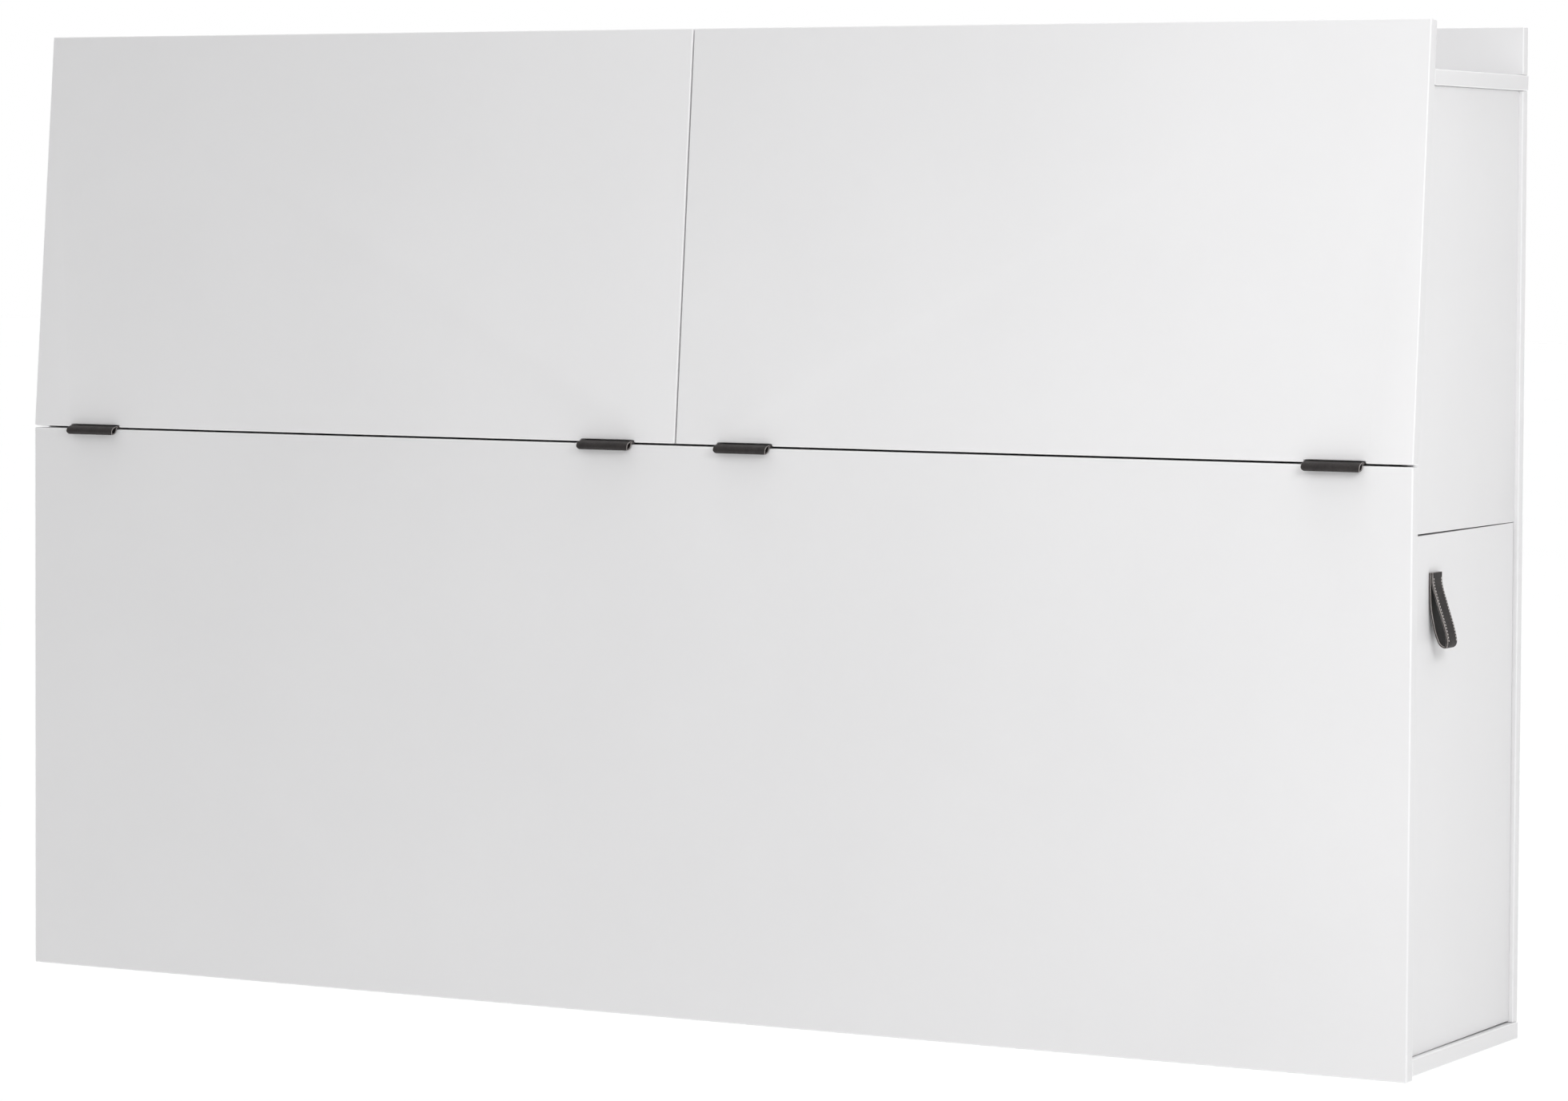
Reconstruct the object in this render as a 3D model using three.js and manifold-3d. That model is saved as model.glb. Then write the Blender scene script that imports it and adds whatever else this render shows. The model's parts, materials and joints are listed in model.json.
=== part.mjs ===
// Wall-hung murphy bed. The lower front panel folds down as a single bed, two flaps above it
// lift over storage compartments, and a door at each end opens onto the space behind the mattress.
// Millimetres, +Z up. The front faces -Y and the wall is at +Y.
import * as THREE from 'three';
import { mergeVertices } from 'three/addons/utils/BufferGeometryUtils.js';
import Module from 'manifold-3d';

const wasm = await Module();
wasm.setup();

// Driving dimensions. Inside the script y = 0 is the front face of the bed panel and z = 0 is its
// lower edge; the finished group is moved so that the wall mount is the origin.
const WIDTH = 2120;
const HEIGHT = 1332;
const DEPTH = 390;
const PANEL_HEIGHT = 772;
const SEAM = 3;
const FLAP_SETBACK = 46;
const LIP_HEIGHT = 63;

const FRONT_BOARD = 20;
const TOP_BOARD = 20;
const BOTTOM_BOARD = 22;
const BACK_BOARD = 16;
const SIDE_BOARD = 16;
const SHELF_BOARD = 18;
const PANEL_OVERHANG = 5;
const SIDE_RECESS = 8;
const BOARD_INSET = 1;
const BACK_INSET = 2.4;

const DOOR_TOP = 686;
const DOOR_GAP_TOP = 1.8;
const DOOR_GAP_BOTTOM = 1.8;
const DOOR_SAG = THREE.MathUtils.degToRad(0.28);

const MATTRESS_LENGTH = 2000;
const MATTRESS_WIDTH = 700;
const MATTRESS_THICKNESS = 140;

const GAP = 0.3;
const FIT = 0.1;
const SIDES = 16;

// Heights and depths worked out from the driving dimensions.
const halfWidth = WIDTH / 2;
const flapBottom = PANEL_HEIGHT + SEAM;
const flapLean = Math.atan2(FLAP_SETBACK, HEIGHT - flapBottom);
const flapLength = Math.hypot(FLAP_SETBACK, HEIGHT - flapBottom);
const topBoardTop = HEIGHT - LIP_HEIGHT;
const topBoardUnder = topBoardTop - TOP_BOARD;
const topBoardFront = 62.5;
const bottomBoardTop = PANEL_OVERHANG + BOTTOM_BOARD;
const innerFront = FRONT_BOARD + 2.5;
const backFront = DEPTH - BACK_BOARD;
const sideOuter = halfWidth - SIDE_RECESS;
const sideInner = sideOuter - SIDE_BOARD;
const shelfUnder = 778;
const shelfTop = shelfUnder + SHELF_BOARD;
const postDepth = 12;
const originHeight = (bottomBoardTop + topBoardUnder) / 2;

// Pivots, as (y, z).
const bedHinge = new THREE.Vector2(innerFront, 2.5);
const flapHinge = new THREE.Vector2(64.2, topBoardTop + 3.2);
const bedStrutBack = new THREE.Vector2(340, 560);
const bedStrutFoot = new THREE.Vector2(bedHinge.x + 22, bedHinge.y + 130);
const flapStrutBack = new THREE.Vector2(300, 850);
const flapStrutFoot = new THREE.Vector2(76, 1132);

const LEFT = -1;
const RIGHT = 1;
const sides = [['left', LEFT], ['right', RIGHT]];

const finishes = {
  white: { color: 0xe9e8e9, roughness: 0.55, metalness: 0 },
  steel: { color: 0xb4b6b8, roughness: 0.35, metalness: 1 },
  darkSteel: { color: 0x3b3c3e, roughness: 0.45, metalness: 0.6 },
  leather: { color: 0x403b3b, roughness: 0.6, metalness: 0 },
  birch: { color: 0xd9bd93, roughness: 0.6, metalness: 0 },
  ticking: { color: 0xeceae4, roughness: 0.9, metalness: 0 },
  webbing: { color: 0x3a3a3d, roughness: 0.85, metalness: 0 },
};

const model = new THREE.Group();
model.position.set(0, -DEPTH, -originHeight);

function add(name, geometry, finish) {
  const mesh = new THREE.Mesh(geometry, new THREE.MeshStandardMaterial(finishes[finish]));
  mesh.name = name;
  model.add(mesh);
  return mesh;
}

// Basic shapes ---------------------------------------------------------------------------------

function box(x0, x1, y0, y1, z0, z1) {
  const geometry = new THREE.BoxGeometry(Math.abs(x1 - x0), y1 - y0, z1 - z0);
  geometry.translate((x0 + x1) / 2, (y0 + y1) / 2, (z0 + z1) / 2);
  return geometry;
}

// A box between two distances from the middle, on one side of the object.
function sideBox(side, x0, x1, y0, y1, z0, z1) {
  return box(side * x0, side * x1, y0, y1, z0, z1);
}

function shapeOf(points) {
  return new THREE.Shape(points.map(([a, b]) => new THREE.Vector2(a, b)));
}

const AXES_ALONG_X = new THREE.Matrix4().makeBasis(
  new THREE.Vector3(0, 1, 0),
  new THREE.Vector3(0, 0, 1),
  new THREE.Vector3(1, 0, 0),
);
const AXES_ALONG_Y = new THREE.Matrix4().makeBasis(
  new THREE.Vector3(1, 0, 0),
  new THREE.Vector3(0, 0, 1),
  new THREE.Vector3(0, -1, 0),
);

// A (y, z) outline extruded from x0 to x1, which may be given in either order.
function alongX(shape, x0, x1) {
  const length = Math.abs(x1 - x0);
  const settings = { depth: length, bevelEnabled: false, curveSegments: 6 };
  const geometry = new THREE.ExtrudeGeometry(shape, settings);
  return geometry.applyMatrix4(AXES_ALONG_X).translate(Math.min(x0, x1), 0, 0);
}

// An (x, z) outline extruded from y0 to y1.
function alongY(shape, y0, y1) {
  const settings = { depth: y1 - y0, bevelEnabled: false, curveSegments: 6 };
  const geometry = new THREE.ExtrudeGeometry(shape, settings);
  return geometry.applyMatrix4(AXES_ALONG_Y).translate(0, y1, 0);
}

function roundedRectangle(width, height, radius) {
  const shape = new THREE.Shape();
  const [a, b] = [width / 2, height / 2];
  shape.moveTo(-a + radius, -b);
  shape.lineTo(a - radius, -b).absarc(a - radius, -b + radius, radius, -Math.PI / 2, 0);
  shape.lineTo(a, b - radius).absarc(a - radius, b - radius, radius, 0, Math.PI / 2);
  shape.lineTo(-a + radius, b).absarc(-a + radius, b - radius, radius, Math.PI / 2, Math.PI);
  shape.lineTo(-a, -b + radius).absarc(-a + radius, -b + radius, radius, Math.PI, 1.5 * Math.PI);
  return shape;
}

// A round rod along X through the (y, z) point.
function rodX(point, radius, x0, x1, segments = SIDES) {
  const geometry = new THREE.CylinderGeometry(radius, radius, Math.abs(x1 - x0), segments);
  return geometry.rotateZ(Math.PI / 2).translate((x0 + x1) / 2, point.x, point.y);
}

// A round rod in a plane of constant x, between two (y, z) points.
function rodBetween(x, from, to, radius) {
  const start = new THREE.Vector3(x, from.x, from.y);
  const end = new THREE.Vector3(x, to.x, to.y);
  const geometry = new THREE.CylinderGeometry(radius, radius, start.distanceTo(end), SIDES);
  const turn = new THREE.Quaternion().setFromUnitVectors(
    new THREE.Vector3(0, 1, 0),
    end.clone().sub(start).normalize(),
  );
  return geometry.applyQuaternion(turn).translate(...start.add(end).multiplyScalar(0.5).toArray());
}

// Joining and cutting --------------------------------------------------------------------------

// Triangles that merging has closed up, where an arc starts on the end of a line, are dropped.
function solid(geometry) {
  const bare = geometry.clone();
  bare.deleteAttribute('normal');
  bare.deleteAttribute('uv');
  const merged = mergeVertices(bare, 1e-4);
  const corners = merged.index.array;
  const triangles = [];
  for (let i = 0; i < corners.length; i += 3) {
    const [a, b, c] = corners.slice(i, i + 3);
    if (a !== b && b !== c && c !== a) {
      triangles.push(a, b, c);
    }
  }
  const mesh = new wasm.Mesh({
    numProp: 3,
    vertProperties: merged.attributes.position.array,
    triVerts: new Uint32Array(triangles),
  });
  return new wasm.Manifold(mesh);
}

function geometryOf(manifold) {
  const mesh = manifold.getMesh();
  const geometry = new THREE.BufferGeometry();
  geometry.setAttribute('position', new THREE.BufferAttribute(mesh.vertProperties, 3));
  geometry.setIndex(new THREE.BufferAttribute(mesh.triVerts, 1));
  geometry.computeVertexNormals();
  return geometry;
}

function join(...geometries) {
  return geometryOf(geometries.map(solid).reduce((sum, piece) => sum.add(piece)));
}

function cut(geometry, ...cutters) {
  const holes = cutters.map(solid);
  return geometryOf(holes.reduce((rest, hole) => rest.subtract(hole), solid(geometry)));
}

function common(a, b) {
  return geometryOf(solid(a).intersect(solid(b)));
}

function circle(radius) {
  const angles = Array.from({ length: SIDES }, (_, i) => (i * 2 * Math.PI) / SIDES);
  return angles.map((angle) => new THREE.Vector2(radius * Math.cos(angle), radius * Math.sin(angle)));
}

// The depth of the flaps' rear face at a given height.
function flapBack(z) {
  const cornerY = FRONT_BOARD * Math.cos(flapLean);
  const cornerZ = flapBottom - FRONT_BOARD * Math.sin(flapLean);
  return cornerY + (z - cornerZ) * Math.tan(flapLean);
}

// Carcass --------------------------------------------------------------------------------------

function addBoards() {
  const shortHalf = halfWidth - BACK_INSET;
  const longHalf = halfWidth - BOARD_INSET;
  const [low, high] = [bottomBoardTop + GAP, topBoardUnder - GAP];
  add('back_board', box(-shortHalf, shortHalf, backFront, DEPTH, low, high), 'white');
  add('back_lip', box(-shortHalf, shortHalf, backFront, DEPTH, topBoardTop + GAP, HEIGHT), 'white');
  add('top_board', box(-longHalf, longHalf, topBoardFront, DEPTH, topBoardUnder, topBoardTop), 'white');
  add('bottom_board', box(-longHalf, longHalf, innerFront, DEPTH, PANEL_OVERHANG, bottomBoardTop), 'white');
}

// The outline of a fixed board whose front edge stands upright and then follows the leaning flaps.
function leaningOutline(bottom) {
  const clearance = 2;
  const top = topBoardUnder - GAP;
  const bend = Math.max(bottom, flapBottom);
  const front = Math.max(innerFront, flapBack(bend) + clearance);
  const back = backFront - GAP;
  const points = [[front, bottom], [flapBack(top) + clearance, top], [back, top], [back, bottom]];
  if (bottom < bend) {
    points.splice(1, 0, [front, bend]);
  }
  return shapeOf(points);
}

function addUprights() {
  const divider = SHELF_BOARD / 2;
  add('centre_divider', alongX(leaningOutline(shelfTop + GAP), -divider, divider), 'white');
  const reach = sideInner - GAP;
  add('bay_shelf', box(-reach, reach, innerFront + 1, backFront - GAP, shelfUnder, shelfTop), 'white');
  for (const [name, side] of sides) {
    const upper = alongX(leaningOutline(DOOR_TOP), side * sideInner, side * sideOuter);
    add(`upper_side_${name}`, upper, 'white');
    const post = [innerFront, innerFront + postDepth, bottomBoardTop + GAP, DOOR_TOP - GAP];
    add(`front_post_${name}`, sideBox(side, sideInner, sideOuter, ...post), 'white');
  }
}

// Rails inside the compartments take the wall screws; steel angles tie the bottom board back.
function addWallFixings() {
  const railHeight = 60;
  const railDepth = 18;
  const top = topBoardUnder - GAP;
  for (const [name, side] of sides) {
    const rail = [SHELF_BOARD / 2 + GAP, sideInner - GAP, backFront - GAP - railDepth, backFront - GAP];
    add(`hanging_rail_${name}`, sideBox(side, ...rail, top - railHeight, top), 'birch');
    add(`floor_angle_${name}`, angleBracket(side * halfWidth * 0.5), 'steel');
  }
}

function angleBracket(x) {
  const leg = 60;
  const plate = 3;
  const half = 20;
  const back = backFront - GAP;
  const floor = bottomBoardTop + GAP;
  const upright = box(x - half, x + half, back - plate, back, floor, floor + leg);
  const foot = box(x - half, x + half, back - leg, back, floor, floor + plate);
  const reach = leg * 0.8;
  const web = shapeOf([[back - 1, floor + 1], [back - 1, floor + reach], [back - reach, floor + 1]]);
  return join(upright, foot, alongX(web, x - plate / 2, x + plate / 2));
}

// Hinges ---------------------------------------------------------------------------------------

// The turning knuckles of a strip hinge, about an axis at y = z = 0. They alternate between leaves.
function knuckles(hinge, bore, first) {
  const ring = new THREE.Shape(circle(hinge.radius));
  ring.holes.push(new THREE.Path(circle(bore)));
  const pieces = [];
  for (let i = first; i < hinge.count; i += 2) {
    pieces.push(alongX(ring, hinge.x0 + i * hinge.pitch + GAP, hinge.x0 + (i + 1) * hinge.pitch - GAP));
  }
  return pieces;
}

// Room in a leaf's plate for the knuckles of the other leaf.
function notches(hinge, first) {
  const reach = hinge.radius + 2 * GAP;
  const pieces = [];
  for (let i = 1 - first; i < hinge.count; i += 2) {
    const x = hinge.x0 + i * hinge.pitch;
    pieces.push(box(x - GAP, x + hinge.pitch + GAP, -reach, reach, -reach, reach));
  }
  return pieces;
}

function leaf(hinge, plate, bore, first) {
  return join(cut(plate, ...notches(hinge, first)), ...knuckles(hinge, bore, first));
}

// Both leaves are built about the axis. The fixed leaf holds the pin tight; the moving one turns on
// it and may lean with the board that it is screwed to.
function addStripHinge(names, axis, hinge, fixedPlate, movingPlate, lean) {
  const end = 1;
  hinge.pitch = (hinge.x1 - hinge.x0) / hinge.count;
  const pin = rodX(new THREE.Vector2(0, 0), hinge.pin, hinge.x0 + end, hinge.x1 - end, 12);
  const fixed = join(leaf(hinge, fixedPlate, hinge.pin - FIT, 0), pin);
  const moving = leaf(hinge, movingPlate, hinge.pin + FIT, 1).rotateX(-lean);
  add(names[0], fixed.translate(0, axis.x, axis.y), 'steel');
  add(names[1], moving.translate(0, axis.x, axis.y), 'steel');
}

function addBedHinge() {
  const end = halfWidth - 40;
  const hinge = { radius: 2.2, pin: 1, x0: -end, x1: end, count: 21 };
  const under = PANEL_OVERHANG - GAP - bedHinge.y;
  const behind = FRONT_BOARD + GAP - bedHinge.x;
  const thickness = 1.2;
  const reach = 26;
  const fixedPlate = box(-end, end, 0, reach, under - thickness, under);
  const movingPlate = box(-end, end, behind, behind + thickness, 0, reach);
  const names = ['bed_hinge_board_leaf', 'bed_hinge_panel_leaf'];
  addStripHinge(names, bedHinge, hinge, fixedPlate, movingPlate, 0);
}

function addFlapHinge(name, side) {
  const span = [side * 60, side * (halfWidth - 60)];
  const hinge = { radius: 2.8, pin: 1.3, x0: Math.min(...span), x1: Math.max(...span), count: 11 };
  const thickness = 1.2;
  const reach = 26;
  const onBoard = topBoardTop + GAP - flapHinge.y;
  const onFlap = GAP - (flapHinge.x - flapBack(flapHinge.y)) * Math.cos(flapLean);
  const fixedPlate = box(hinge.x0, hinge.x1, 0, reach, onBoard, onBoard + thickness);
  const movingPlate = box(hinge.x0, hinge.x1, onFlap, onFlap + thickness, 0, reach);
  const names = [`flap_hinge_board_leaf_${name}`, `flap_hinge_leaf_${name}`];
  addStripHinge(names, flapHinge, hinge, fixedPlate, movingPlate, flapLean);
}

// Leather loops --------------------------------------------------------------------------------

// A strip of leather seen edge on: the outline at a constant distance from a smooth middle line.
function ribbon(points, thickness) {
  const line = new THREE.SplineCurve(points.map(([a, b]) => new THREE.Vector2(a, b)));
  const steps = 28;
  const outer = [];
  const inner = [];
  for (let i = 0; i <= steps; i += 1) {
    const at = line.getPointAt(i / steps);
    const along = line.getTangentAt(i / steps);
    const across = new THREE.Vector2(-along.y, along.x).multiplyScalar(thickness / 2);
    outer.push(at.clone().add(across));
    inner.unshift(at.clone().sub(across));
  }
  return new THREE.Shape([...outer, ...inner]);
}

// A pull tab folded over in front of the bed panel, its two ends held in a rebate of the flap.
function addFlapPull(name, x) {
  const width = 80;
  const corner = 5;
  const drop = 10.75;
  const height = 60;
  const fold = [
    [8, -1], [-1.5, -1], [-3.4, -4.6], [-6.2, -9], [-10.2, -10],
    [-13.6, -6.6], [-11.6, -1.2], [-6, 0.55], [-1, 0.7], [8, 0.7],
  ];
  const loop = alongX(ribbon(fold, 1.5), x - width / 2, x + width / 2);
  const outline = roundedRectangle(width - FIT, height, corner);
  const trim = alongY(outline, -30, 30).translate(x, 0, height / 2 - drop);
  add(name, common(loop, trim).translate(0, 0, flapBottom), 'leather');
}

// A doubled strap on the door, pinned at the top, its fold standing away from the door below.
function addDoorStrap(name, side) {
  const width = 32;
  const corner = 7;
  const thickness = 2.5;
  const length = 96;
  const top = DOOR_TOP - 50;
  const middle = 91;
  const fold = [
    [1.6, 0], [1.6, -25], [2.4, -50], [5, -75], [9, -89.5], [17, -94.6],
    [24, -91.5], [26.8, -83], [22, -68], [13.2, -42], [4.6, -15], [4.4, 0],
  ];
  const line = fold.map(([out, z]) => [side * (sideOuter + GAP + out), z]);
  const loop = alongY(ribbon(line, thickness), middle - width / 2, middle + width / 2);
  const outline = roundedRectangle(width - FIT, 2 * length, corner);
  const trim = alongX(outline, side * halfWidth * 0.9, side * halfWidth * 1.1).translate(0, middle, 0);
  add(name, common(loop, trim).translate(0, 0, top), 'leather');
}

// Flaps ----------------------------------------------------------------------------------------

// From a flap's own frame, upright with its lower front edge at the origin, to its closed place.
function lean(geometry) {
  return geometry.rotateX(-flapLean).translate(0, 0, flapBottom);
}

function addFlap(name, side) {
  const seam = 1.2;
  const pullInset = 106;
  const rebate = { halfLength: 42, depth: 10, height: 3 };
  const board = sideBox(side, seam, halfWidth, 0, FRONT_BOARD, 0, flapLength);
  const pulls = [['inner', side * pullInset], ['outer', side * (halfWidth - pullInset)]];
  const rebates = [];
  for (const [place, x] of pulls) {
    const from = x - rebate.halfLength;
    const to = x + rebate.halfLength;
    rebates.push(box(from, to, -1, rebate.depth, -1, rebate.height));
    addFlapPull(`flap_pull_${name}_${place}`, x);
  }
  add(`flap_${name}`, lean(cut(board, ...rebates)), 'white');
  addFlapHinge(name, side);
}

// Gas struts -----------------------------------------------------------------------------------

// Distances from the middle: the struts' centre lines, and the two faces of the ears that hold them.
const STRUT_LANE = 1020;
const EAR_INSIDE = 1001;
const EAR_OUTSIDE = 1006;
const FITTING_PLATE = 3;

function pointAlong(from, to, distance) {
  const direction = to.clone().sub(from).normalize();
  return from.clone().addScaledVector(direction, distance);
}

// A tube turning on a pin at its fixed end, and a rod that slides in it and ends in an eye.
function addStrut(names, side, fixed, moving, size) {
  const x = side * STRUT_LANE;
  const half = 10;
  const eye = rodX(fixed, size.tube + 1, x - half, x + half);
  const barrelStart = pointAlong(fixed, moving, size.tube - 2);
  const barrel = rodBetween(x, barrelStart, pointAlong(fixed, moving, size.tubeLength), size.tube);
  const bore = rodBetween(
    x,
    pointAlong(fixed, moving, size.tube + 12),
    pointAlong(fixed, moving, size.tubeLength + 1),
    size.rod + 2 * GAP,
  );
  const pinHole = rodX(fixed, size.pin + FIT, x - half - 1, x + half + 1);
  add(names[0], cut(join(eye, barrel), bore, pinHole), 'darkSteel');
  const rodStart = pointAlong(moving, fixed, size.rodLength);
  const foot = rodX(moving, size.rod + 4, x - half + 0.5, x + half - 0.5);
  add(names[1], join(rodBetween(x, rodStart, moving, size.rod), foot), 'steel');
}

function addBedStrut(name, side) {
  const size = { tube: 10, rod: 5, pin: 5, tubeLength: 480, rodLength: 470 };
  const names = [`bed_strut_tube_${name}`, `bed_strut_rod_${name}`];
  addStrut(names, side, bedStrutBack, bedStrutFoot, size);
  const back = backFront - GAP;
  const [y, z] = bedStrutBack.toArray();
  const plateEdge = EAR_OUTSIDE - 21;
  const plateHalf = 28;
  const earHalf = 14;
  const pinEnd = STRUT_LANE + 13;
  const plateFront = back - FITTING_PLATE;
  const plate = sideBox(side, plateEdge, EAR_OUTSIDE, plateFront, back, z - plateHalf, z + plateHalf);
  const ear = sideBox(side, EAR_INSIDE, EAR_OUTSIDE, y - 12, back, z - earHalf, z + earHalf);
  const pin = rodX(bedStrutBack, size.pin, side * (EAR_INSIDE + 1), side * pinEnd);
  add(`bed_strut_bracket_${name}`, join(plate, ear, pin), 'steel');
}

function addFlapStrut(name, side) {
  const size = { tube: 8, rod: 3.5, pin: 4, tubeLength: 318, rodLength: 334 };
  const names = [`flap_strut_tube_${name}`, `flap_strut_rod_${name}`];
  addStrut(names, side, flapStrutBack, flapStrutFoot, size);
  const [y, z] = flapStrutBack.toArray();
  const wall = sideInner - GAP;
  const half = 16;
  const plate = sideBox(side, wall - FITTING_PLATE, wall, y - half, y + half, z - half, z + half);
  const pin = rodX(flapStrutBack, size.pin, side * (STRUT_LANE - 11), side * (wall - 1));
  add(`flap_strut_bracket_${name}`, join(plate, pin), 'steel');
  addFlapStrutFoot(name, side);
}

// The foot stands behind the flap, so it is drawn in the flap's own leaning frame.
function addFlapStrutFoot(name, side) {
  const point = flapStrutFoot.clone().sub(new THREE.Vector2(0, flapBottom));
  point.rotateAround(new THREE.Vector2(0, 0), flapLean);
  const base = FRONT_BOARD + GAP;
  const plateHalf = 18;
  const earHalf = 8;
  const bossRadius = 6;
  const plateTop = base + FITTING_PLATE;
  const plate = sideBox(side, 980, EAR_OUTSIDE, base, plateTop, point.y - plateHalf, point.y + plateHalf);
  const earEnd = point.x + earHalf;
  const ear = sideBox(side, EAR_INSIDE, EAR_OUTSIDE, base, earEnd, point.y - earHalf, point.y + earHalf);
  const boss = rodX(point, bossRadius, side * (EAR_INSIDE + 1), side * (EAR_OUTSIDE + 2.5));
  add(`flap_strut_foot_${name}`, lean(join(plate, ear, boss)), 'steel');
}

// Side doors -----------------------------------------------------------------------------------

const doorFront = innerFront + postDepth + 2.5;
const doorBack = backFront - 2.5;
const doorBottom = bottomBoardTop + DOOR_GAP_BOTTOM;
const doorHead = DOOR_TOP - DOOR_GAP_TOP;

// The hung door drops a little at its free front edge, about its middle.
function sag(geometry) {
  const [y, z] = [(doorFront + doorBack) / 2, (doorBottom + doorHead) / 2];
  return geometry.translate(0, -y, -z).rotateX(DOOR_SAG).translate(0, y, z);
}

function addDoor(name, side) {
  const cupRadius = 17.5;
  const cupDepth = 12;
  const cupInset = 24;
  const flange = 2.5;
  const holes = [];
  for (const [place, z] of [['lower', doorBottom + 80], ['upper', doorHead - 56]]) {
    const centre = new THREE.Vector2(doorBack - cupInset, z);
    holes.push(rodX(centre, cupRadius, side * (sideInner - 1), side * (sideInner + cupDepth), 24));
    const rimDepth = [centre.x - 20, centre.x + 16];
    const rim = sideBox(side, sideInner - GAP - flange, sideInner - GAP, ...rimDepth, z - 26, z + 26);
    const cupEnd = sideInner + cupDepth - GAP;
    const cup = rodX(centre, cupRadius - GAP, side * (sideInner - 1), side * cupEnd, 24);
    add(`door_hinge_cup_${name}_${place}`, sag(join(rim, cup)), 'steel');
    addDoorHingeArm(`door_hinge_arm_${name}_${place}`, side, z);
  }
  const board = sideBox(side, sideInner, sideOuter, doorFront, doorBack, doorBottom, doorHead);
  add(`side_door_${name}`, sag(cut(board, ...holes)), 'white');
  addDoorStrap(`door_strap_${name}`, side);
}

// The fixed half of a concealed hinge: a plate on the back board and the arm that stands off it.
function addDoorHingeArm(name, side, z) {
  const back = backFront - GAP;
  const plateHalf = 22;
  const armHalf = 8;
  const plate = sideBox(side, 985, 1026, back - FITTING_PLATE, back, z - plateHalf, z + plateHalf);
  const arm = sideBox(side, 994, 1028, back - 22, back - 2, z - armHalf, z + armHalf);
  add(name, join(plate, arm), 'steel');
}

// Bed ------------------------------------------------------------------------------------------

const tube = 30;
const frameFront = FRONT_BOARD + GAP;
const frameBack = frameFront + tube;
const frameEnd = MATTRESS_LENGTH / 2 - 15;
const frameBottom = 34;
const frameTop = frameBottom + MATTRESS_WIDTH + 10;
const slatBack = frameBack + GAP + 8;
const mattressFront = slatBack + 2.1;

function addBedPanel() {
  add('bed_panel', box(-halfWidth, halfWidth, 0, FRONT_BOARD, 0, PANEL_HEIGHT), 'white');
}

// One welded frame of folded channel, open towards the slats, with a boss at each end for the strut.
function addBedFrame() {
  const bays = 2;
  const wall = 3;
  const pitch = (2 * frameEnd - tube) / bays;
  const lowerRail = [-frameEnd, frameEnd, frameBottom, frameBottom + tube];
  const upperRail = [-frameEnd, frameEnd, frameTop - tube, frameTop];
  const bars = [lowerRail, upperRail];
  for (let i = 0; i <= bays; i += 1) {
    const x = -frameEnd + i * pitch;
    bars.push([x, x + tube, frameBottom, frameTop]);
  }
  const outside = bars.map(([x0, x1, z0, z1]) => box(x0, x1, frameFront, frameBack, z0, z1));
  const inside = bars.map(([x0, x1, z0, z1]) => (
    box(x0 + wall, x1 - wall, frameFront + wall, frameBack + 1, z0 + wall, z1 - wall)
  ));
  const bossRadius = 8;
  const bossEnd = STRUT_LANE - 11;
  const bosses = sides.map(([, side]) => (
    rodX(bedStrutFoot, bossRadius, side * (frameEnd - 1), side * bossEnd)
  ));
  add('bed_frame', join(cut(join(...outside), ...inside), ...bosses), 'darkSteel');
}

// Wooden slats joined by two tapes, as they come rolled up.
function addSlats() {
  const count = 14;
  const slat = 60;
  const front = frameBack + GAP;
  const reach = frameEnd - 5;
  const pitch = (2 * reach - slat) / (count - 1);
  const pieces = [];
  for (let i = 0; i < count; i += 1) {
    const x = -reach + i * pitch;
    pieces.push(box(x, x + slat, front, slatBack, frameBottom + 5, frameTop - 5));
  }
  for (const z of [frameBottom + 150, frameTop - 150]) {
    pieces.push(box(-reach + 5, reach - 5, slatBack - 1, slatBack + 1.5, z - 12, z + 12));
  }
  add('slatted_base', join(...pieces), 'birch');
}

function addMattress() {
  const middle = (frameBottom + frameTop) / 2;
  const outline = roundedRectangle(MATTRESS_LENGTH, MATTRESS_WIDTH, 40);
  const geometry = alongY(outline, mattressFront, mattressFront + MATTRESS_THICKNESS);
  add('mattress', join(geometry.translate(0, 0, middle)), 'ticking');
  for (const [name, side] of sides) {
    addMattressStrap(`mattress_strap_${name}`, side * MATTRESS_LENGTH * 0.28);
  }
}

// An elastic band from the lower rail, round the mattress, to the upper rail.
function addMattressStrap(name, x) {
  const half = 20;
  const thickness = 2;
  const clear = 0.6;
  const front = FRONT_BOARD + 3;
  const back = mattressFront + MATTRESS_THICKNESS + clear;
  const [low, high] = [frameBottom - clear, frameTop + clear];
  const outline = shapeOf([
    [front, low - thickness], [back + thickness, low - thickness], [back + thickness, high + thickness],
    [front, high + thickness], [front, high], [back, high], [back, low], [front, low],
  ]);
  add(name, alongX(outline, x - half, x + half), 'webbing');
}

addBoards();
addUprights();
addWallFixings();
addBedPanel();
addBedHinge();
addBedFrame();
addSlats();
addMattress();
for (const [name, side] of sides) {
  addFlap(name, side);
  addFlapStrut(name, side);
  addBedStrut(name, side);
  addDoor(name, side);
}

export default model;
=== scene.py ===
"""Looks for the wall-hung fold-down bed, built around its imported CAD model.

Metres, +Z up, the wall at +Y and the front facing -Y. Lengths with MM in them are in millimetres.
"""

import json
import math

import bmesh
import bpy
import numpy as np
from mathutils import Matrix, Vector


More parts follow.
